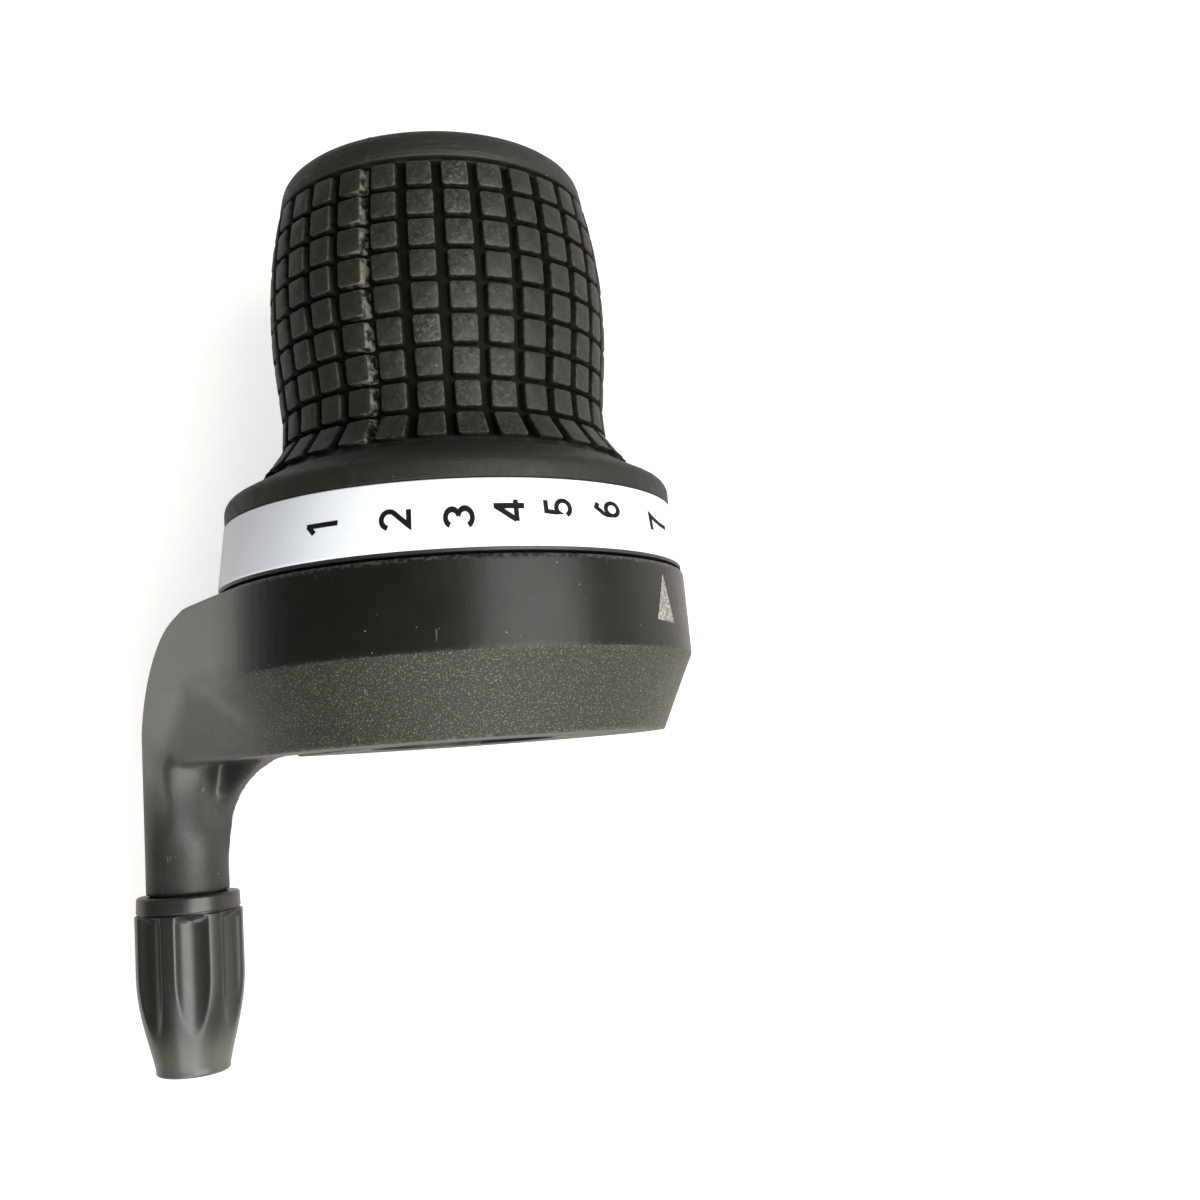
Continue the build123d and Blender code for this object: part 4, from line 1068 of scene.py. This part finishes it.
ring = dial_ring()
soften(ring)
new_piece("dial_ring", ring, dial_white, "grip", ("indicator_ring",))
NUMERALS = (
    ("1", -22.6, 22.42, 1.25, 3.75),
    ("2", -5.5, 22.32, 2.45, 3.3),
    ("3", 8.15, 22.25, 2.4, 3.15),
    ("4", 19.1, 22.75, 2.4, 3.3),
    ("5", 30.7, 23.2, 2.0, 3.3),
    ("6", 44.4, 23.42, 1.87, 3.85),
    ("7", 65.2, 23.02, 2.2, 4.4),
)
for word, angle, y, width, height in NUMERALS:
    new_piece("numeral_" + word, numeral_mesh(word, angle, y, width, height), ink, "grip")

# The housing and its pointer

housing = moulded_housing()
soften(housing, 60.0)
new_piece("housing_look", housing, housing_black, "housing", ("housing_shell",))
new_piece("pointer_print", pointer_mesh(), silver_print, "housing")

# The adjuster knob

knob = made_by(fluted_knob_tree(), "knob_look", knob_blank(), {"Plastic": knob_black})
soften(knob, 45.0)
new_piece("knob_look", knob, knob_black, "knob", ("adjuster_knob",))

# Finishes of the solids that show as they are

FINISHES = {
    "base_sleeve": inner_black,
    "base_screws": steel,
    "clamp_band": steel,
    "clamp_screw": steel,
    "clamp_nut": steel,
    "detent_spring": steel,
    "thrust_washer": nylon,
    "retaining_ring": steel,
    "end_washer": inner_black,
    "cable_cover": housing_black,
    "cover_screw": steel,
    "thread_insert": brass,
    "drum": inner_black,
    "adjuster_spring": steel,
    "adjuster_bolt": aluminium,
}
for node, finish in FINISHES.items():
    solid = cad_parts[node]
    solid.data.materials.clear()
    solid.data.materials.append(finish)


# Floor, light and camera


def white_table():
    """Matt white table, seen as white, that keeps a soft warm shadow."""
    mesh = bpy.data.meshes.new("table")
    half = 1.5
    z = TABLE_TOP * MM
    corners = [(-half, -half, z), (half, -half, z), (half, half, z), (-half, half, z)]
    mesh.from_pydata(corners, [], [(0, 1, 2, 3)])
    table = placed("table", mesh)
    material = bpy.data.materials.new("table_white")
    material.use_nodes = True
    t = Tree(material.node_tree)
    t.tree.nodes.clear()
    matt = t.add("ShaderNodeBsdfDiffuse", {"Color": tone(0.52, 0.485, 0.45)})
    path = t.add("ShaderNodeLightPath").outputs
    mirrored = t.sum("MAXIMUM", path["Is Glossy Ray"], path["Is Transmission Ray"])
    share = t.sum("ADD", t.sum("MULTIPLY", path["Is Camera Ray"], 0.7), t.sum("MULTIPLY", mirrored, 0.3))
    white = t.add("ShaderNodeEmission", {"Color": tone(1.0, 1.0, 1.0), "Strength": share})
    seen = t.add("ShaderNodeAddShader", {0: matt.outputs[0], 1: white.outputs[0]})
    t.add("ShaderNodeOutputMaterial", {"Surface": seen.outputs[0]})
    mesh.materials.append(material)


def soft_lamp(name, place, target, size, power, colour=(1.0, 1.0, 1.0)):
    data = bpy.data.lights.new(name, "AREA")
    data.shape = "RECTANGLE"
    data.size, data.size_y = size
    data.energy = power
    data.color = colour
    lamp = placed(name, data)
    lamp.location = place
    lamp.rotation_euler = (Vector(target) - Vector(place)).to_track_quat("-Z", "Y").to_euler()


def room_light():
    """Plain room: dim overhead, lighter towards the walls, dark at the far side, a little cool."""
    world = bpy.data.worlds.new("room")
    bpy.context.scene.world = world
    world.use_nodes = True
    t = Tree(world.node_tree)
    background = world.node_tree.nodes["Background"]
    aim = t.add("ShaderNodeSeparateXYZ", {0: t.add("ShaderNodeTexCoord").outputs["Generated"]})
    wall = t.ramp(aim.outputs[2], 0.95, 0.1)
    side = t.sum("ADD", t.sum("MULTIPLY", t.ramp(aim.outputs[0], -0.7, 0.4), 0.8), 0.2)
    level = t.sum("ADD", t.sum("MULTIPLY", t.sum("MULTIPLY", wall, side), 0.3), 0.06)
    t.put(background.inputs["Color"], tone(0.97, 0.985, 1.0))
    t.put(background.inputs["Strength"], level)


def photo_camera():
    """Camera fitted to the outlines in the photograph."""
    data = bpy.data.cameras.new("camera")
    data.sensor_width = SENSOR
    data.sensor_height = SENSOR
    data.sensor_fit = "HORIZONTAL"
    data.lens = SENSOR * FOCAL_PIXELS / PHOTO_PIXELS
    data.clip_start = 0.005
    camera = placed("camera", data)
    right = CAMERA_FORWARD.cross(CAMERA_UP).normalized()
    up = right.cross(CAMERA_FORWARD)
    turn = Matrix((right, up, -CAMERA_FORWARD)).transposed()
    camera.matrix_world = Matrix.Translation(CAMERA_PLACE * MM) @ turn.to_4x4()
    bpy.context.scene.camera = camera


white_table()
soft_lamp("window", (0.38, -0.04, 0.44), (0.0, 0.01, 0.0), (0.5, 0.5), 5.6, (1.0, 0.99, 0.965))
soft_lamp("front", (0.04, -0.42, 0.46), (0.0, 0.0, 0.0), (0.6, 0.4), 3.4)
room_light()
photo_camera()
bpy.context.scene.view_settings.view_transform = "Standard"
